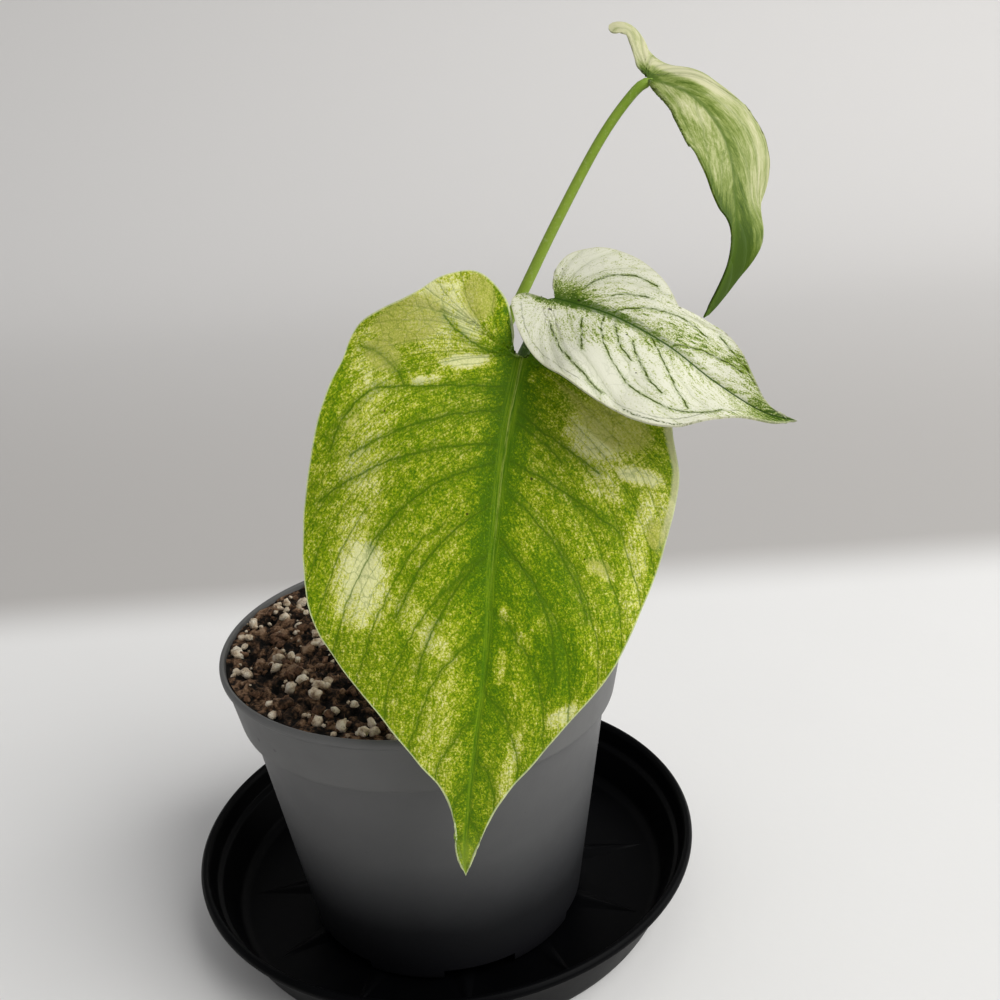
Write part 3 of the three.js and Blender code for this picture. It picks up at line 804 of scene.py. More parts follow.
def make_petiole(name, points, skin, foot, end, reach, swelling):
    """A tapering stalk with a shallow groove on its upper side and a swollen joint at its end.
    Its last step is longer by the reach; foot and end are its radii."""
    last_step = (Vector(points[-1]) - Vector(points[-2])).normalized()
    route = Route([*points[:-1], Vector(points[-1]) + last_step * reach])

    def radius(distance, turn):
        part = distance / route.length
        body = foot + (end - foot) * part
        joint = swelling * math.exp(-((route.length - distance - 3.5) / 2.6) ** 2)
        sheath = 0.35 * math.exp(-(distance / 9) ** 2)
        groove = 0.10 * max(0.0, math.cos(turn - 1.2)) ** 6 * (1 - part)
        last = max(0.0, distance - route.length + 1.2) / 1.25
        return (body * (1 + joint + sheath) - groove * foot) * math.sqrt(1 - last * last)

    stalk = tube(name + "_stalk", route, radius)
    finish_piece(stalk, skin, "petiole_" + name)


# Leaves

# A leaf is given by the points of its midrib, the way across it (side), and for each half its
# outline as (along, across) pairs. Other pairs are (along, value): the fold of a half in degrees,
# the lean of its side veins, and the wave of its margin. half_width is where a wave has its full
# height, and bow curls the halves down. rows and parts cut a half into a grid, bend and lobe_bow
# curve its rows, and curl rolls a lobe over. Side veins are vein_gap apart on the margin, quilt
# is how far the skin rises between them, and rib how far the midrib stands out behind.
FRONT_LEAF = {
    "midrib": [(32.3, -44, 185.2), (26.9, -54, 167), (21.9, -65, 141.9), (18.8, -73, 120.2),
               (14.9, -78, 100.4), (10.5, -80, 75.1), (9.5, -79, 62.4)],
    "side": (1, 0, 0.07),
    "rows": 130, "parts": 52, "bend": 0.24, "bend_from": 0.35,
    "vein_gap": 10.0, "quilt": 0.22, "rib": 1.5,
    "fold_left": [(0, 5)],
    "fold_right": [(0, 5)],
    "lean_left": [(0, 0.45), (30, 0.6), (100, 1.8)],
    "lean_right": [(0, 0.6), (30, 0.9), (100, 1.9)],
    "bow": 0.004,
    "lobe_bow": 0.36,
    "half_width": 45,
    "wave_left": [(-20, 0.5), (-3, -2.2), (18, 1.8), (42, -1), (66, 2), (92, -3), (118, 6),
                  (132, 0)],
    "wave_right": [(-14, 1.5), (8, -1.6), (30, 1.5), (52, -2), (74, 2.4), (98, -4), (120, 6),
                   (132, 0)],
    "left": [(-1, -2.4), (-5.5, -3), (-13.5, -6.4), (-18, -11.5), (-19.2, -16.5), (-16.4, -23.2),
             (-11, -30), (-7.3, -36.5), (-2.5, -42), (8, -43.8), (20, -46), (38.7, -47.2),
             (52, -46), (67, -42), (80.4, -33.9), (90.7, -23), (100.2, -13.2), (107.5, -6.2),
             (116, -3), (125, -2)],
    "right": [(-0.4, 1.6), (-6, 3.4), (-11, 7), (-13.7, 14), (-12, 23), (-6, 31.5), (2, 36.5),
              (13, 39.8), (24, 42.4), (40, 41.2), (55, 38), (71, 31.4), (85, 22), (97, 14.8),
              (106, 8.8), (114, 5.3), (123, 2.8)],
}
SIDE_LEAF = {
    "midrib": [(41.7, -36, 197.3), (54.1, -44, 194.1), (66.3, -51, 187.5), (76.6, -56, 179.1),
               (86.9, -60, 172.2), (95.2, -60, 169.4)],
    "side": (0.25, 0.82, 0.52),
    "rows": 90, "parts": 34, "bend": 0.22, "bend_from": 0.35,
    "vein_gap": 9.5, "quilt": 0.18, "rib": 1.3,
    "fold_left": [(0, 10), (40, 10), (58, 24)],
    "fold_right": [(0, 10), (40, 10), (58, 24)],
    "lean_left": [(0, 0.9), (50, 1.3)],
    "lean_right": [(0, 1.3), (30, 1.9)],
    "bow": 0.006,
    "lobe_bow": 0.3,
    "half_width": 24,
    "wave_left": [(-10, 1.5), (4, -0.8), (18, 1.2), (33, -1.2), (48, 1.5), (60, 0)],
    "wave_right": [(-4, 1.2), (10, -0.8), (20, 1), (31, -1.6), (41, 1.5), (56, 0)],
    "left": [(-2, -1), (-7.6, -1.3), (-9.3, -4), (-6.4, -9), (-1, -15), (5, -19.6), (14, -23.8),
             (22, -26), (31, -25.6), (37, -25.7), (42, -24), (46.4, -19.6), (50.6, -13.2),
             (56, -6.4), (61.5, -2.8)],
    "right": [(-2.6, 4), (-4.2, 8.6), (-3.6, 13.4), (0.2, 17.7), (7, 20.2), (14, 19), (21, 15.9),
              (28.6, 11.6), (33, 11.4), (40, 14.2), (45, 12.3), (51, 7.6), (57.5, 2.8),
              (62, 1.2)],
}
HIGH_LEAF = {
    "midrib": [(70.7, 0, 245.7), (82, -3, 240.2), (89.5, -7, 228.8), (90.8, -12, 213.9),
               (88.8, -17, 200.7), (80.8, -22, 186.9)],
    "side": (0.45, 0.8, 0.35),
    "rows": 90, "parts": 34, "bend": 0.20, "bend_from": 1.15,
    "vein_gap": 7.0, "quilt": 0.12, "rib": 0.9,
    "fold_left": [(0, 0)],
    "fold_right": [(0, 0), (38, 2), (54, 26), (74, 30)],
    "lean_left": [(0, 1.2), (50, 1.8)],
    "lean_right": [(0, 1.0), (50, 1.8)],
    "bow": 0,
    "lobe_bow": 0,
    "half_width": 24,
    "wave_left": [(0, 0), (74, 0)],
    "wave_right": [(-12, 0), (1, -7.8), (12, -5.7), (22, -2), (30, -1), (43, -3.5), (52, -2),
                   (74, 0)],
    "curl": {"way": (-0.46, 0.888), "start": 18.2, "radius": 4, "axis": (0.1, -0.9, 0.42)},
    "left": [(3, -3.3), (6.7, -7.4), (11.5, -11.2), (17.3, -14.4), (26, -17.8), (33, -18.6),
             (37.5, -17.2), (41.1, -15.3), (44, -13), (46.4, -10), (48.2, -5.6), (50.5, -3),
             (55, -2), (62, -1.6), (69, -1)],
    "right": [(-3.5, 3.1), (-5.8, 7.6), (-8.2, 12.5), (-10.2, 15.6), (-12, 18.8), (-13.4, 21.4),
              (-13.3, 23.8), (-11.4, 24.5), (-9.8, 23), (-8.3, 20.8), (-6.4, 18.6), (-3.8, 18),
              (0, 18.6), (5, 19), (9, 18.8), (14.6, 18.6), (19, 18.6), (24, 20.2), (28.8, 22.4),
              (34.4, 24.2), (38, 23.2), (41.3, 19), (44.8, 14.1), (48.1, 12.1), (53.3, 9.9),
              (59.7, 6.6), (66, 4.4), (71, 2.2)],
}


class Blade:
    """The surface of a leaf: a point for a distance along its midrib and one across it.
    Distances along are negative behind the joint, and distances across on the left half."""

    def __init__(self, leaf):
        self.leaf = leaf
        self.rib = Route(leaf["midrib"])
        self.length = self.rib.length
        self.side = Vector(leaf["side"])
        self.curl = leaf.get("curl")
        if self.curl:
            way, start = self.curl["way"], self.curl["start"]
            here = self.open(way[0] * start, way[1] * start)
            ahead = self.open(way[0] * (start + 1), way[1] * (start + 1)) - here
            self.axis = Vector(self.curl["axis"]).normalized()
            inward = self.axis.cross(ahead).normalized()
            self.hinge = here + inward * self.curl["radius"]

    def at(self, along, across):
        """A point of the leaf, past the curl where it has one."""
        if not self.curl or across <= 0 or along > 0:
            return self.open(along, across)
        way = self.curl["way"]
        over = along * way[0] + across * way[1] - self.curl["start"]
        if over <= 0:
            return self.open(along, across)
        point = self.open(along - way[0] * over, across - way[1] * over)
        turn = Matrix.Rotation(over / self.curl["radius"], 3, self.axis)
        return turn @ (point - self.hinge) + self.hinge

    def open(self, along, across):
        """A point of the leaf before any curl."""
        leaf = self.leaf
        held = min(max(along, 0), self.length)
        forward = self.rib.heading(held)
        wide = (self.side - forward * self.side.dot(forward)).normalized()
        up = forward.cross(wide)
        half = "left" if across < 0 else "right"
        fold = math.radians(between(leaf["fold_" + half], along))
        out = abs(across)
        wave = leaf["wave_" + half]
        lift = between(wave, along) * (out / leaf["half_width"]) ** 2
        return (self.rib.at(held) + forward * (along - held) + wide * across * math.cos(fold)
                + up * (out * math.sin(fold) - leaf["bow"] * out * out + lift))


ROW_CROWDING = 1.4


def vein_rows(outline, length, lean, steps):
    """Rows as (foot, along, across, outline length): first a fan from the joint, then rows whose
    feet run down the midrib, closer at first. Their lean toward the tip changes along the blade."""
    edge = Route([(0, 0), *outline, (length, 0)], 0.5)
    fine = int(edge.length / 0.1)
    marks = [(edge.at(edge.length * i / fine), edge.length * i / fine) for i in range(fine + 1)]

    def foot(point):
        free = point.x - between(lean, point.x) * abs(point.y)
        return 0.0 if free <= 0 else free * free / (free + 5)

    last = max(i for i, (point, _) in enumerate(marks) if foot(point) == 0)
    share = marks[last][1] / edge.length
    fan = max(2, round(1.5 * steps * share))
    made = []
    for i in range(fan):
        point, run = marks[round(last * i / fan)]
        made.append((0.0, point.x, point.y, run))
    place = last
    reach = foot(marks[-1][0])
    for i in range(steps):
        part = (i / steps) ** ROW_CROWDING
        while foot(marks[place][0]) < reach * part:
            place += 1
        point, run = marks[place]
        made.append((length * part, point.x, point.y, run))
    made.append((length, length, 0.0, edge.length))
    return made


def row_lines(leaf, rows):
    """The rows as curved lines on the flat leaf, each cut into parts from midrib to margin."""
    lines = []
    for foot, along, across, _ in rows:
        start, end = Vector((foot, 0)), Vector((along, across))
        chord = end - start
        turn = math.acos(max(-1, min(1, -chord.x / (chord.length + 1e-6))))
        lean_in = Vector((-abs(chord.y), math.copysign(chord.x, across)))
        bow_out = Vector((abs(chord.y), math.copysign(chord.x, across)))
        bend = between([(leaf["bend_from"], 0), (1.6, 1)], turn)
        middle = (start + end) / 2 + lean_in * leaf["bend"] * bend
        if foot == 0 and along < 0:
            middle += bow_out * between([(0.4, leaf["lobe_bow"]), (1.4, 0)], turn)
        lines.append([bowed(start, middle, end, j / leaf["parts"])
                      for j in range(leaf["parts"] + 1)])
    return lines


def half_blade(blade, half):
    """One half of a blade: a grid whose rows follow the side veins from the midrib out. Its maps
    hold the place on the flat leaf (blade), and the vein's number and the way out (veins)."""
    leaf = blade.leaf
    parts, vein_gap = leaf["parts"], leaf["vein_gap"]
    rows = vein_rows(leaf[half], blade.length, leaf["lean_" + half], leaf["rows"])
    flat = row_lines(leaf, rows)
    deselect_all()
    bpy.ops.mesh.primitive_grid_add(x_subdivisions=parts, y_subdivisions=len(rows) - 1, size=1)
    piece = bpy.context.object
    mesh = piece.data
    veins = mesh.uv_layers[0]
    veins.name = "veins"
    flat_map = mesh.uv_layers.new(name="blade")
    gap = mesh.attributes.new("gap", "FLOAT", "POINT")
    rim = mesh.attributes.new("rim", "FLOAT", "POINT")
    just_beside = math.copysign(1e-9, -1 if half == "left" else 1)
    outward = [[0.0] for _ in rows]
    for i, line in enumerate(flat):
        for a, b in zip(line, line[1:]):
            outward[i].append(outward[i][-1] + (b - a).length)
    place_of = {}
    for vertex in mesh.vertices:
        j = round((vertex.co.x + 0.5) * parts)
        i = round((vertex.co.y + 0.5) * (len(rows) - 1))
        place_of[vertex.index] = (i, j)
        spot = flat[i][j]
        vertex.co = blade.at(spot.x, spot.y if j else just_beside) * MM
        low, high = max(i - 1, 0), min(i + 1, len(rows) - 1)
        way = (flat[i][min(j + 1, parts)] - flat[i][max(j - 1, 0)]).normalized()
        spread = flat[high][j] - flat[low][j]
        numbers = (rows[high][3] - rows[low][3]) / vein_gap
        gap.data[vertex.index].value = abs(spread.x * way.y - spread.y * way.x) / max(numbers, 1e-6)
        edge_way = (flat[high][parts] - flat[low][parts]).normalized()
        cross = abs(way.x * edge_way.y - way.y * edge_way.x)
        rim.data[vertex.index].value = (outward[i][parts] - outward[i][j]) * max(cross, 0.25)
    for corner in mesh.loops:
        i, j = place_of[corner.vertex_index]
        veins.data[corner.index].uv = (rows[i][3] / vein_gap * 0.01, outward[i][j] * MM)
        flat_map.data[corner.index].uv = (flat[i][j].x * MM, flat[i][j].y * MM)
    if half == "right":
        with edit_mode(piece):
            bpy.ops.mesh.flip_normals()
    return piece


HALF_SKIN, THICKEST = 0.30, 2.0


def close_ends(piece, ends):
    """Merges the crowded vertices at the joint and at the tip."""
    with edit_mode(piece, None):
        bpy.ops.mesh.select_all(action="DESELECT")
    for vertex in piece.data.vertices:
        vertex.select = min((vertex.co / MM - end).length for end in ends) < 3
    with edit_mode(piece, None):
        bpy.ops.mesh.select_mode(type="VERT")
        bpy.ops.mesh.remove_doubles(threshold=0.3 * MM)
        bpy.ops.mesh.select_all(action="SELECT")
        bpy.ops.mesh.delete_loose(use_verts=True, use_edges=True, use_faces=False)


def make_blade(name, leaf, finish):
    """A blade: both halves joined, quilted between the veins, thickened with a rib behind."""
    blade = Blade(leaf)
    piece = join(name + "_leaf_blade", [half_blade(blade, half) for half in ("left", "right")])
    clean_mesh(piece, 0.004, outward=False)
    close_ends(piece, [blade.at(0, 0), blade.at(blade.length, 0)])
    mesh = piece.data
    veins, flat = mesh.uv_layers["veins"], mesh.uv_layers["blade"]
    number, across, along = {}, {}, {}
    for corner in mesh.loops:
        number[corner.vertex_index] = veins.data[corner.index].uv.x * 100
        along[corner.vertex_index] = flat.data[corner.index].uv.x / MM
        across[corner.vertex_index] = flat.data[corner.index].uv.y / MM
    rim = mesh.attributes["rim"]
    thick = piece.vertex_groups.new(name="thick")
    for vertex in mesh.vertices:
        k = vertex.index
        out = abs(across[k])
        calm = between([(1.5, 0), (9, 1)], out) * between([(1, 0), (7, 1)], rim.data[k].value)
        swell = leaf["quilt"] * calm * (0.5 - 0.5 * math.cos(2 * math.pi * number[k]))
        groove = 0.18 * between([(0.2, 1), (1.1, 0)], out) * between([(2, 0), (9, 1)], along[k])
        vertex.co += vertex.normal * (HALF_SKIN + swell - groove) * MM
        share = min(1, max(0, 1 - along[k] / blade.length))
        ridge = leaf["rib"] * share * math.sqrt(max(0, 1 - (out / (0.6 + 1.2 * share)) ** 2))
        ridge *= between([(-0.5, 0), (3, 1)], along[k]) * between([(0, 0), (0.1, 1)], share)
        body = between([(0, 0.20), (2.5, 0.5)], rim.data[k].value)
        thick.add([k], min(1, (body + ridge) / THICKEST), "REPLACE")
    for material in (finish(name + "_leaf_face"), finish(name + "_leaf_back", back=True)):
        mesh.materials.append(material)
    apply_modifier(piece, "SOLIDIFY", thickness=THICKEST * MM, offset=-1, vertex_group="thick",
                   use_quality_normals=True, use_rim=True, material_offset=1,
                   material_offset_rim=0)
    smooth(piece, 55)
    finish_piece(piece, replaces="leaf_" + name)


class LeafFinish(Finish):
    """Shared patterns of a leaf skin, on its own maps, whose lengths are in metres."""

    def __init__(self, name, roughness, specular):
        super().__init__(name, roughness, specular)
        self.flat = self.uv("blade")
        self.along, self.across = self.apart(self.flat)[:2]
        raw, self.outward = self.apart(self.uv("veins"))[:2]
        wobble = self.add(self.times(self.grain(self.flat, 12, 2), 0.35),
                          self.times(self.grain(self.flat, 2.6, 2), 0.15), -0.25)
        self.number = self.add(self.times(raw, 100), wobble)
        self.wavy = self.ruffled(self.ruffled(self.flat, 4.0, 0.7), 1.1, 0.28)
        self.gap = self.value_of("gap")
        self.rim = self.value_of("rim")
        self.out = self.math("ABSOLUTE", self.across)
        self.streaks = self.together(self.times(self.number, 0.0095),
                                     self.times(self.outward, 0.36))

    def line(self, number, width):
        """Soft lines at the whole numbers, fading out width millimetres to either side."""
        part = self.math("FRACT", self.add(number, 0.5))
        return self.step(self.times(self.off(part, 0.5), self.gap), width, 0.0)

    def patch(self, along, across, long, wide, turn=0.0):
        """A soft round patch, 1 at its middle."""
        dx, dy = self.add(self.along, -along * MM), self.add(self.across, -across * MM)
        c, s = math.cos(math.radians(turn)), math.sin(math.radians(turn))
        x = self.times(self.add(self.times(dx, c), self.times(dy, s)), 1 / (long * MM))
        y = self.times(self.add(self.times(dy, c), self.times(dx, -s)), 1 / (wide * MM))
        return self.step(self.add(self.times(x, x), self.times(y, y)), 1.0, 0.0)

    def away(self, along, across):
        """The distance from a place, a little ruffled."""
        place = (along * MM, across * MM, 0)
        return self.put_in("VectorMath", self.wavy, place, operation="DISTANCE").outputs["Value"]

    def stroke(self, first, middle, last):
        """The distance from a bowed line through three places."""
        (ax, ay), (bx, by), (cx, cy) = first, middle, last
        turn = 2 * (ax * (by - cy) + bx * (cy - ay) + cx * (ay - by))
        a, b, c = ax * ax + ay * ay, bx * bx + by * by, cx * cx + cy * cy
        x = (a * (by - cy) + b * (cy - ay) + c * (ay - by)) / turn
        y = (a * (cx - bx) + b * (ax - cx) + c * (bx - ax)) / turn
        beside = self.add(self.away(x, y), -math.hypot(ax - x, ay - y) * MM)
        past = self.add(self.away((ax + cx) / 2, (ay + cy) / 2), -math.dist(first, last) / 2 * MM)
        return self.math("MAXIMUM", self.math("ABSOLUTE", beside), past)

    def from_strokes(self, lines):
        """The distance from the nearest of some bowed lines."""
        nearest = self.stroke(*lines[0])
        for line in lines[1:]:
            nearest = self.math("MINIMUM", nearest, self.stroke(*line))
        return nearest

    def patches(self, *given):
        """Patches added up, each given as its strength and then its place and size."""
        return self.add(*[self.times(self.patch(*place), strength)
                          for strength, *place in given])


# Markings, and painted highlights and shade, in millimetres along and across the leaf. A patch is
# (strength, along, across, its half length, its half width, its turn in degrees), and a vein
# (first, middle, last) places.
# Cream patches of the front leaf, among them painted highlights: glints near the joint and a sheen
# on the lower left, and painted light on the right shoulder under the side leaf.
FRONT_CREAM_AND_SHEEN = [
    (0.30, -9, -20, 20, 13, 20), (0.24, 6, -36, 13, 8, 20), (0.62, 3, -12.5, 8, 2.6, 103),
    (0.50, 9.6, -21.6, 5, 1.8, 108), (0.34, -6, -14, 6, 3, 35), (0.20, 24, -34, 16, 9, 10),
    (0.52, 58, -31, 13, 9, 0), (0.28, 66, -16, 14, 5, 40), (0.24, 14, 24, 16, 12, 10),
    (0.62, 25, 33, 8, 3.4, 85), (0.34, 33, 38, 9, 6, 0), (0.24, 50, 34, 20, 4, 0),
    (0.17, 40, -34, 16, 9, 0), (0.26, 29, 24, 8, 5, 70), (0.30, 17, 20, 10, 8, 60),
    (0.26, -10, -24, 9, 12, 20), (0.20, 52, -31, 9, 7, 0), (-0.20, 55, 13, 14, 8, 0),
    (-0.26, 73, 16, 13, 9, 0), (0.34, 50, 26, 5, 2.2, 60), (0.46, 62, 3.4, 3.5, 1.6, 10),
    (0.40, 74, 3.5, 6, 2, 0), (0.30, 98, 9, 15, 2.4, -8), (0.45, 84, 20, 6, 3, -50),
    (0.24, 64, 14, 5, 4, 0), (0.14, 90, -8, 22, 8, 0), (0.30, 4.2, 3.6, 2.6, 1.6, 0)]
FRONT_CALM = [
    (1, -5.5, -29, 13, 8.5, 110), (0.8, 5, -34, 8, 5, 60), (0.75, 13, 27, 12, 7.5, 70),
    (0.8, 39, 38.5, 6, 3.2, 10), (0.50, 9, 17, 12, 10, 60), (0.6, 49, 26, 6, 3, 60),
    (0.9, -13, -13, 8, 6, 30), (0.55, 22, -37, 6, 4, 0)]
FRONT_SPECKS = [
    (1, 29, 7.5, 0.5, 0.5), (1, 39, -7, 0.45, 0.45), (1, 62, -4.4, 0.35, 0.35),
    (1, 18, -30, 0.3, 0.4), (1, 47, 22, 0.3, 0.3)]
FRONT_VEINS = [
    ((-0.1, -5.2), (-3.7, -15.6), (-7.6, -20.6)), ((8, -3.6), (10.4, -17.7), (12.8, -32.3)),
    ((12.8, -32.3), (18.5, -38.6), (27.8, -42)), ((11.6, -26.5), (5.7, -32.6), (3.1, -39.6)),
    ((13.8, -2.4), (20.1, -22.6), (28.3, -36.9)), ((21.9, -1), (27.6, -24.5), (39.4, -43.4)),
    ((26.4, -2.2), (35.4, -18.6), (48.5, -29.5)), ((13, 1.4), (18.5, 11), (25.5, 23.3)),
    ((25.1, 1.2), (29.6, 12), (39.8, 29.5)), ((33.3, 2.2), (43, 13.4), (61.9, 23.3)),
    ((36, -1.5), (47, -13), (64, -22)), ((44, 1.5), (56, 11), (76, 17)),
    ((48, -1), (60, -10), (78, -16)), ((16, 1), (19, 8), (24, 14))]
# Green patches of the side leaf; the two above the midrib toward the tip are painted shade,
# grey-green in the fold.
SIDE_GREEN_AND_SHADE = [
    (0.18, 9, -9, 9, 6, 0), (0.14, 18, -10, 7, 9, 0), (0.10, 12, 6, 14, 6, 0),
    (-0.05, 18, -20, 22, 8, 0), (0.36, 50, 9, 8, 6, 0), (0.28, 36, 7, 16, 5, 10),
    (-0.22, 22, -18, 16, 7, 0), (-0.16, 2, 13, 6, 6, 0)]
SIDE_SPECKS = [
    (1, 1, -4.5, 0.6, 0.5), (1, 6, 1.2, 0.5, 0.4), (1, 22, -4.5, 0.4, 0.35),
    (1, 30, -14, 0.3, 0.3), (1, -3, 9, 0.25, 0.3)]
SIDE_VEINS = [
    ((14.1, -1.2), (23.2, -14.4), (35, -18.8)), ((35, -18.8), (43, -17.2), (49.9, -9.9)),
    ((26.1, -0.5), (34.9, -7.8), (44, -15.1)), ((24.2, -5.5), (29.5, -11.2), (37.7, -15.5)),
    ((4, -9.7), (14, -18.8), (26.8, -24.1)), ((10.3, -5.1), (12.4, -9.2), (16.1, -15.1)),
    ((5, 3.8), (8.5, 10.3), (20, 13.4)), ((15.4, 0.5), (23.8, 7.5), (36.8, 9.5)),
    ((32.2, 1), (39.4, 5.5), (49.1, 6.5)), ((12.8, 5.3), (16.5, 8.4), (20.9, 9.8)),
    ((38.6, 12.5), (46.6, 9.4), (56.5, 3.2)), ((18, -3), (23, -9), (27, -11.6))]
HIGH_PATCHES = [
    (0.40, -2, 0, 6, 4.5, 0), (-0.34, 8, 12, 13, 6, 8), (-0.16, 16, -6, 9, 4, 10),
    (0.12, 26, 10, 14, 6, 0)]


def front_leaf_finish(name, back=False):
    """Lime green, marbled with cream along the veins, deep green beside the midrib."""
    f = LeafFinish(name, 0.36, 0.08)
    cloud = f.grain(f.streaks, 7, 3, 0.6)
    streak = f.grain(f.streaks, 0.85, 3, 0.75)
    fleck = f.grain(f.flat, 0.55, 4, 0.8)
    mottle = f.grain(f.flat, 2.2, 4, 0.72)
    marble = f.add(f.times(streak, 0.9), f.times(mottle, 1.1), f.times(fleck, 1.6), -1.80)
    # The cream patches hold painted highlights and painted light as well as cream variegation.
    cream = f.patches(*FRONT_CREAM_AND_SHEEN)
    calm = f.step(f.add(f.patches(*FRONT_CALM), f.times(cloud, 1.4), f.times(fleck, 0.7), -1.05),
                  0.28, 0.72)
    flush = f.times(f.step(f.out, 0.0085, 0.0005), f.step(f.along, 0.125, 0.010, 0.30, 1.0))
    tone = f.add(f.times(cloud, 0.55), marble, cream, f.times(flush, -0.46), 0.185)
    colour = f.ramp(tone, [
        (0.02, (0.060, 0.150, 0.001)), (0.24, (0.120, 0.230, 0.001)),
        (0.42, (0.240, 0.340, 0.002)), (0.58, (0.400, 0.460, 0.016)),
        (0.78, (0.620, 0.630, 0.125)), (0.97, (0.750, 0.755, 0.360))])
    smooth_tan = f.mix(f.step(f.add(fleck, f.times(streak, 0.6)), 0.55, 1.10),
                       rgb(0.340, 0.380, 0.038), rgb(0.585, 0.555, 0.165))
    green = rgb(0.070, 0.150, 0.001)
    tangle = f.ruffled(f.flat, 1.2, 0.6)
    net = f.times(f.cell_edges(tangle, 1.3, 0.26), f.step(fleck, 0.30, 0.50))
    wide_net = f.times(f.cell_edges(tangle, 4.6, 0.24), f.step(f.out, 0.006, 0.022))
    main, band = f.line(f.number, 0.42), f.line(f.number, 2.0)
    from_vein = f.from_strokes(FRONT_VEINS)
    vein, shade = f.step(from_vein, 0.00045, 0.00005), f.step(from_vein, 0.0026, 0.0)
    later = f.step(f.along, 0.036, 0.050, 0.30, 1.0)
    fading = f.times(f.step(f.outward, 0.050, 0.004, 0.30, 1.0),
                     f.step(f.along, -0.012, 0.014, 0.45, 1.0))
    minor = f.times(f.line(f.times(f.number, 3), 0.7), f.step(streak, 0.34, 0.50))
    plain = f.math("MAXIMUM", calm, f.step(tone, 0.52, 0.82))
    thin = f.times(f.step(streak, 0.34, 0.52, 0.35, 1.0), f.step(calm, 1.0, 0.0, 0.45, 1.0))
    threads = f.grain(f.together(f.times(f.along, 0.04), f.across), 0.40, 3, 0.7)
    half_rib = f.step(f.along, 0.100, 0.0, 0.0007, 0.0019)
    rib = f.step(f.math("DIVIDE", f.out, half_rib), 1.25, 0.6)
    rib_green = f.mix(f.step(threads, 0.35, 0.65),
                      rgb(0.055, 0.150, 0.001), rgb(0.170, 0.280, 0.006))
    pale = f.times(f.step(f.off(f.across, 0.0002), 0.0005, 0.0001),
                   f.step(threads, 0.42, 0.56), f.step(f.along, 0.062, 0.015))
    side_strip = f.times(f.step(f.add(f.rim, f.times(cloud, -2.0)), 1.4, 0.2),
                         f.step(f.across, 0.030, 0.036), f.step(f.along, 0.046, 0.034))
    colour = f.paint(
        colour,
        (calm, 0.80, smooth_tan),
        (f.times(net, f.step(plain, 1.0, 0.0, 0.18, 1.0)), 0.50, green),
        (wide_net, 0.34, green),
        (f.times(minor, f.step(calm, 1.0, 0.0, 0.3, 1.0)), 0.46, green),
        (f.times(band, fading, later), 0.50, green),
        (f.times(main, later), 0.60, green),
        (f.times(shade, f.step(mottle, 0.30, 0.55, 0.3, 1.0)), 0.48, green),
        (f.times(vein, thin), 0.85, rgb(0.060, 0.130, 0.001)),
        (rib, 0.85, rib_green),
        (pale, 0.55, rgb(0.42, 0.47, 0.10)),
        (side_strip, 0.8, rgb(0.56, 0.56, 0.30)),
        (f.patches(*FRONT_SPECKS), 0.9, rgb(0.010, 0.012, 0.003)),
        (f.step(f.along, 0.1160, 0.1268), 0.35, rgb(0.38, 0.48, 0.05)),
        (f.step(f.rim, 0.40, 0.12), 0.75, rgb(0.62, 0.67, 0.38)))
    if back:
        colour = f.mix(0.40, colour, rgb(0.34, 0.44, 0.12))
    f.set("Base Color", colour)
    f.set("Roughness", f.add(0.50 if back else 0.28, f.times(fleck, 0.16)))
    first = f.bump(f.add(f.times(band, -0.5), f.times(main, -0.5)), 0.10)
    f.bump(f.add(f.times(fleck, 0.6), f.times(streak, 0.6), f.times(net, -0.3)), 0.16, under=first)
    return f.material


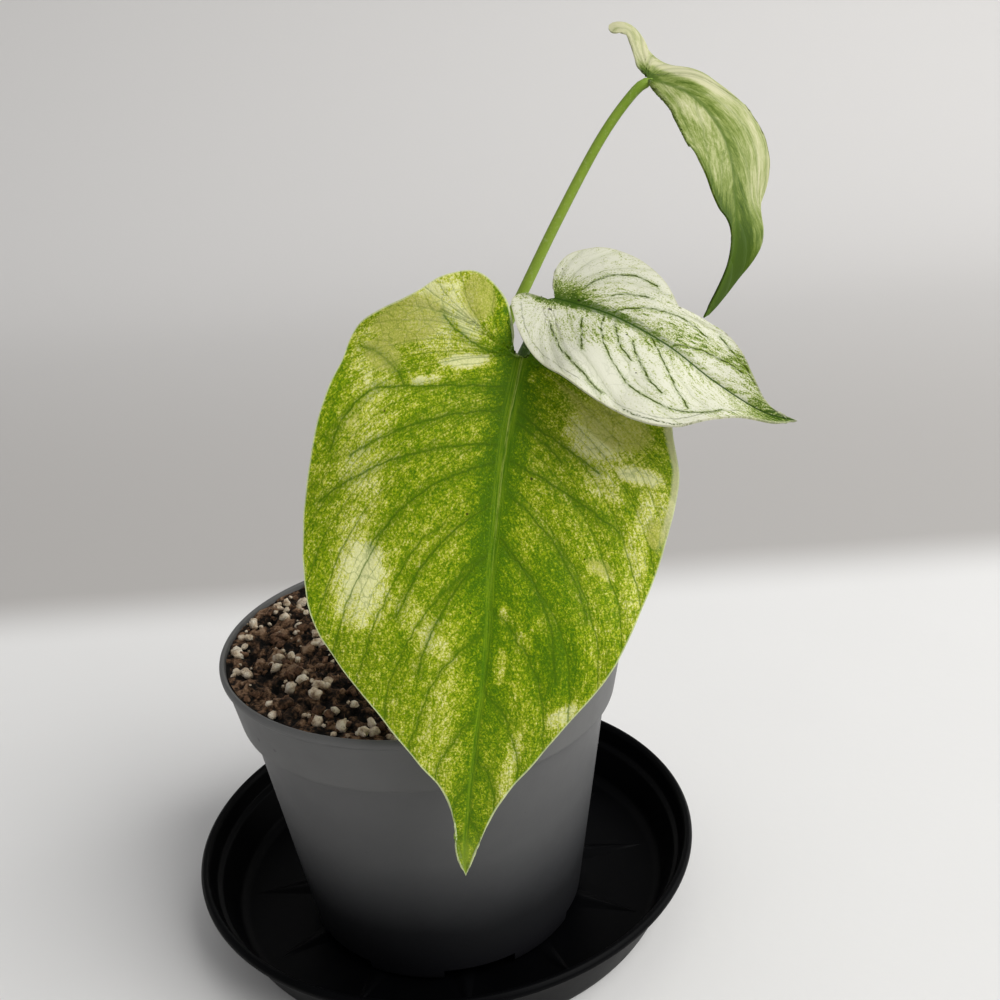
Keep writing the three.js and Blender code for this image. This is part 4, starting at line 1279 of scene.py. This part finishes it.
def side_leaf_finish(name, back=False):
    """Cream white, dusted with green beside the midrib, with thin broken dark veins."""
    f = LeafFinish(name, 0.4, 0.07)
    cloud = f.grain(f.streaks, 6, 3, 0.6)
    streak = f.grain(f.streaks, 0.9, 3, 0.7)
    fleck = f.grain(f.flat, 0.45, 4, 0.8)
    threads = f.grain(f.together(f.times(f.along, 0.22), f.across), 0.7, 3, 0.75)
    marble = f.add(f.times(streak, 1.8), f.times(fleck, 2.3), -2.05)
    flush = f.times(f.step(f.out, 0.0070, 0.0), f.step(f.along, 0.050, 0.004, 0.35, 1.0))
    joint = f.patch(1, 2, 10, 7)
    tip = f.step(f.along, 0.046, 0.062)
    lower = f.times(f.patch(34, -4, 20, 9), 0.10)
    # Green of the flush, the joint and the tip, with painted shade above the midrib toward the tip.
    green_and_shade_field = f.add(f.times(flush, 0.36), f.times(joint, 0.34), f.times(tip, 0.55), lower,
                        f.patches(*SIDE_GREEN_AND_SHADE))
    tone = f.add(f.times(cloud, 0.45), marble, green_and_shade_field, -0.04)
    colour = f.ramp(tone, [
        (0.26, (0.660, 0.660, 0.530)), (0.43, (0.530, 0.545, 0.330)),
        (0.58, (0.290, 0.350, 0.080)), (0.74, (0.105, 0.175, 0.012)),
        (0.92, (0.036, 0.078, 0.004))])
    dark = rgb(0.042, 0.066, 0.001)
    broken = f.step(f.grain(f.streaks, 2.6, 2), 0.38, 0.56, 0.15, 1.0)
    nearer = f.step(f.outward, 0.022, 0.004, 0.55, 1.0)
    lobe_free = f.math("MAXIMUM", f.step(f.across, -0.001, 0.0), f.step(f.along, 0.0, 0.008))
    main = f.times(f.line(f.number, 0.26), broken, nearer, lobe_free)
    band = f.times(f.line(f.number, 1.2), lobe_free)
    from_vein = f.from_strokes(SIDE_VEINS)
    broken_here = f.step(streak, 0.40, 0.54, 0.30, 1.0)
    vein = f.times(f.step(from_vein, 0.00036, 0.00008), broken_here)
    fringe = f.times(f.step(from_vein, 0.0009, 0.0001), broken_here)
    dusting = f.times(f.step(from_vein, 0.0019, 0.0), f.step(fleck, 0.48, 0.60))
    low_edge = f.times(f.step(f.stroke((34, -25), (42, -23), (49, -16.6)), 0.0005, 0.0001),
                       f.step(fleck, 0.44, 0.56))
    minor = f.times(f.line(f.times(f.number, 3), 0.5), f.step(streak, 0.50, 0.66))
    tangle = f.ruffled(f.flat, 1.6, 0.5)
    net = f.times(f.cell_edges(tangle, 4.6, 0.22), f.step(cloud, 0.44, 0.60))
    loop = f.times(f.step(f.off(f.add(f.rim, f.times(cloud, 3.0)), 3.6), 0.35, 0.0),
                   f.step(f.across, 0.0, -0.006), broken)
    brush = f.step(f.add(f.out, f.times(threads, -0.0048)), 0.0002, -0.0016)
    near_joint = f.step(f.along, 0.048, 0.010, 0.16, 1.0)
    colour = f.paint(
        colour,
        (band, 0.14, rgb(0.22, 0.28, 0.06)),
        (net, 0.14, dark),
        (f.times(minor, lobe_free), 0.28, rgb(0.12, 0.17, 0.02)),
        (loop, 0.55, dark),
        (main, 0.25, dark),
        (dusting, 0.60, rgb(0.110, 0.180, 0.012)),
        (fringe, 0.55, rgb(0.200, 0.290, 0.020)),
        (vein, 1.0, dark),
        (low_edge, 1.0, dark),
        (f.times(brush, near_joint), 0.85, rgb(0.042, 0.090, 0.006)),
        (f.step(f.out, 0.00045, 0.00015), 0.95, rgb(0.024, 0.060, 0.003)),
        (f.patches(*SIDE_SPECKS), 0.9, rgb(0.014, 0.010, 0.006)),
        (f.step(f.rim, 0.40, 0.12), 0.5, rgb(0.50, 0.50, 0.33)))
    if back:
        colour = f.mix(0.35, colour, rgb(0.44, 0.46, 0.30))
    f.set("Base Color", colour)
    f.set("Roughness", f.add(0.50 if back else 0.36, f.times(fleck, 0.14)))
    first = f.bump(f.add(f.times(band, -0.4), f.times(vein, -0.5)), 0.14)
    f.bump(f.add(f.times(fleck, 0.6), f.times(streak, 0.5)), 0.10, under=first)
    return f.material


def high_leaf_finish(name, back=False):
    """Soft pale green streaked with cream, deep green toward its tip."""
    f = LeafFinish(name, 0.5, 0.08)
    cloud = f.grain(f.streaks, 4.5, 3, 0.6)
    streak = f.grain(f.streaks, 1.1, 3, 0.65)
    fleck = f.grain(f.flat, 0.6, 2, 0.6)
    tip = f.step(f.along, 0.034, 0.060)
    mottle = f.grain(f.flat, 2.2, 3, 0.7)
    left = f.step(f.across, 0.0, -0.005)
    flap_edge = f.times(left, f.step(f.rim, 4.5, 1.0))
    lobe = f.step(f.along, 0.0, -0.006)
    # Painted shade of the crease along the midrib: the skin beside it is darker.
    beside = f.step(f.off(f.across, 0.003), 0.007, 0.0)
    tone = f.add(f.times(cloud, 0.75), f.times(streak, 0.75), f.times(fleck, 0.22),
                 f.times(tip, 0.55), f.times(beside, 0.32), f.times(mottle, left, 0.34),
                 f.times(flap_edge, 0.16), f.times(lobe, -0.20),
                 f.patches(*HIGH_PATCHES), -0.55)
    colour = f.ramp(tone, [
        (0.12, (0.520, 0.510, 0.310)), (0.34, (0.360, 0.385, 0.170)),
        (0.54, (0.190, 0.240, 0.055)), (0.76, (0.072, 0.118, 0.007)),
        (0.95, (0.036, 0.072, 0.002))])
    main, wide = f.line(f.number, 0.5), f.line(f.number, 1.6)
    hem = f.times(f.step(f.rim, 0.40, 0.12), f.step(f.across, 0.0, 0.004),
                  f.step(f.along, 0.056, 0.046))
    colour = f.paint(
        colour,
        (wide, 0.14, rgb(0.10, 0.16, 0.03)),
        (main, 0.16, rgb(0.05, 0.10, 0.012)),
        # A dark line on the midrib: painted shade in its crease.
        (f.step(f.out, 0.0016, 0.0003), 0.7, rgb(0.06, 0.11, 0.008)),
        (hem, 0.4, rgb(0.50, 0.52, 0.30)))
    if back:
        colour = f.mix(f.step(f.along, 0.050, 0.030, 0.05, 0.40), colour,
                       rgb(0.24, 0.29, 0.14))
    f.set("Base Color", colour)
    f.set("Roughness", f.add(0.55 if back else 0.44, f.times(fleck, 0.12)))
    first = f.bump(f.add(f.times(wide, -0.6), f.times(main, -0.4)), 0.14)
    f.bump(f.add(f.times(fleck, 0.4), f.times(streak, 0.6)), 0.08, under=first)
    return f.material


set_camera()
set_lights()
set_floor()
make_saucer()
make_pot()
make_soil()
make_perlite()
make_bark()
make_fibres()
make_stem()

front_skin = stalk_finish("front_petiole_skin", rgb(0.22, 0.33, 0.05), rgb(0.08, 0.17, 0.01),
                          darker=(20, 70, 0.2))
# The side stalk darkens toward its leaf: painted shade, where it lies in the side leaf's shadow
# behind the front leaf.
side_skin = stalk_finish("side_petiole_skin", rgb(0.22, 0.33, 0.04), rgb(0.055, 0.12, 0.005),
                         darker=(50, 85, 0.7))
high_skin = stalk_finish("high_petiole_skin", rgb(0.30, 0.42, 0.045), rgb(0.13, 0.25, 0.012),
                         darker=(120, 158, 0.25))
make_petiole("front", FRONT_PETIOLE, front_skin, foot=2.05, end=1.7, reach=-0.2, swelling=0.22)
make_petiole("side", SIDE_PETIOLE, side_skin, foot=1.85, end=1.5, reach=-0.4, swelling=0.22)
make_petiole("high", HIGH_PETIOLE, high_skin, foot=1.85, end=1.25, reach=0.4, swelling=0.04)

make_blade("front", FRONT_LEAF, front_leaf_finish)
make_blade("side", SIDE_LEAF, side_leaf_finish)
make_blade("high", HIGH_LEAF, high_leaf_finish)
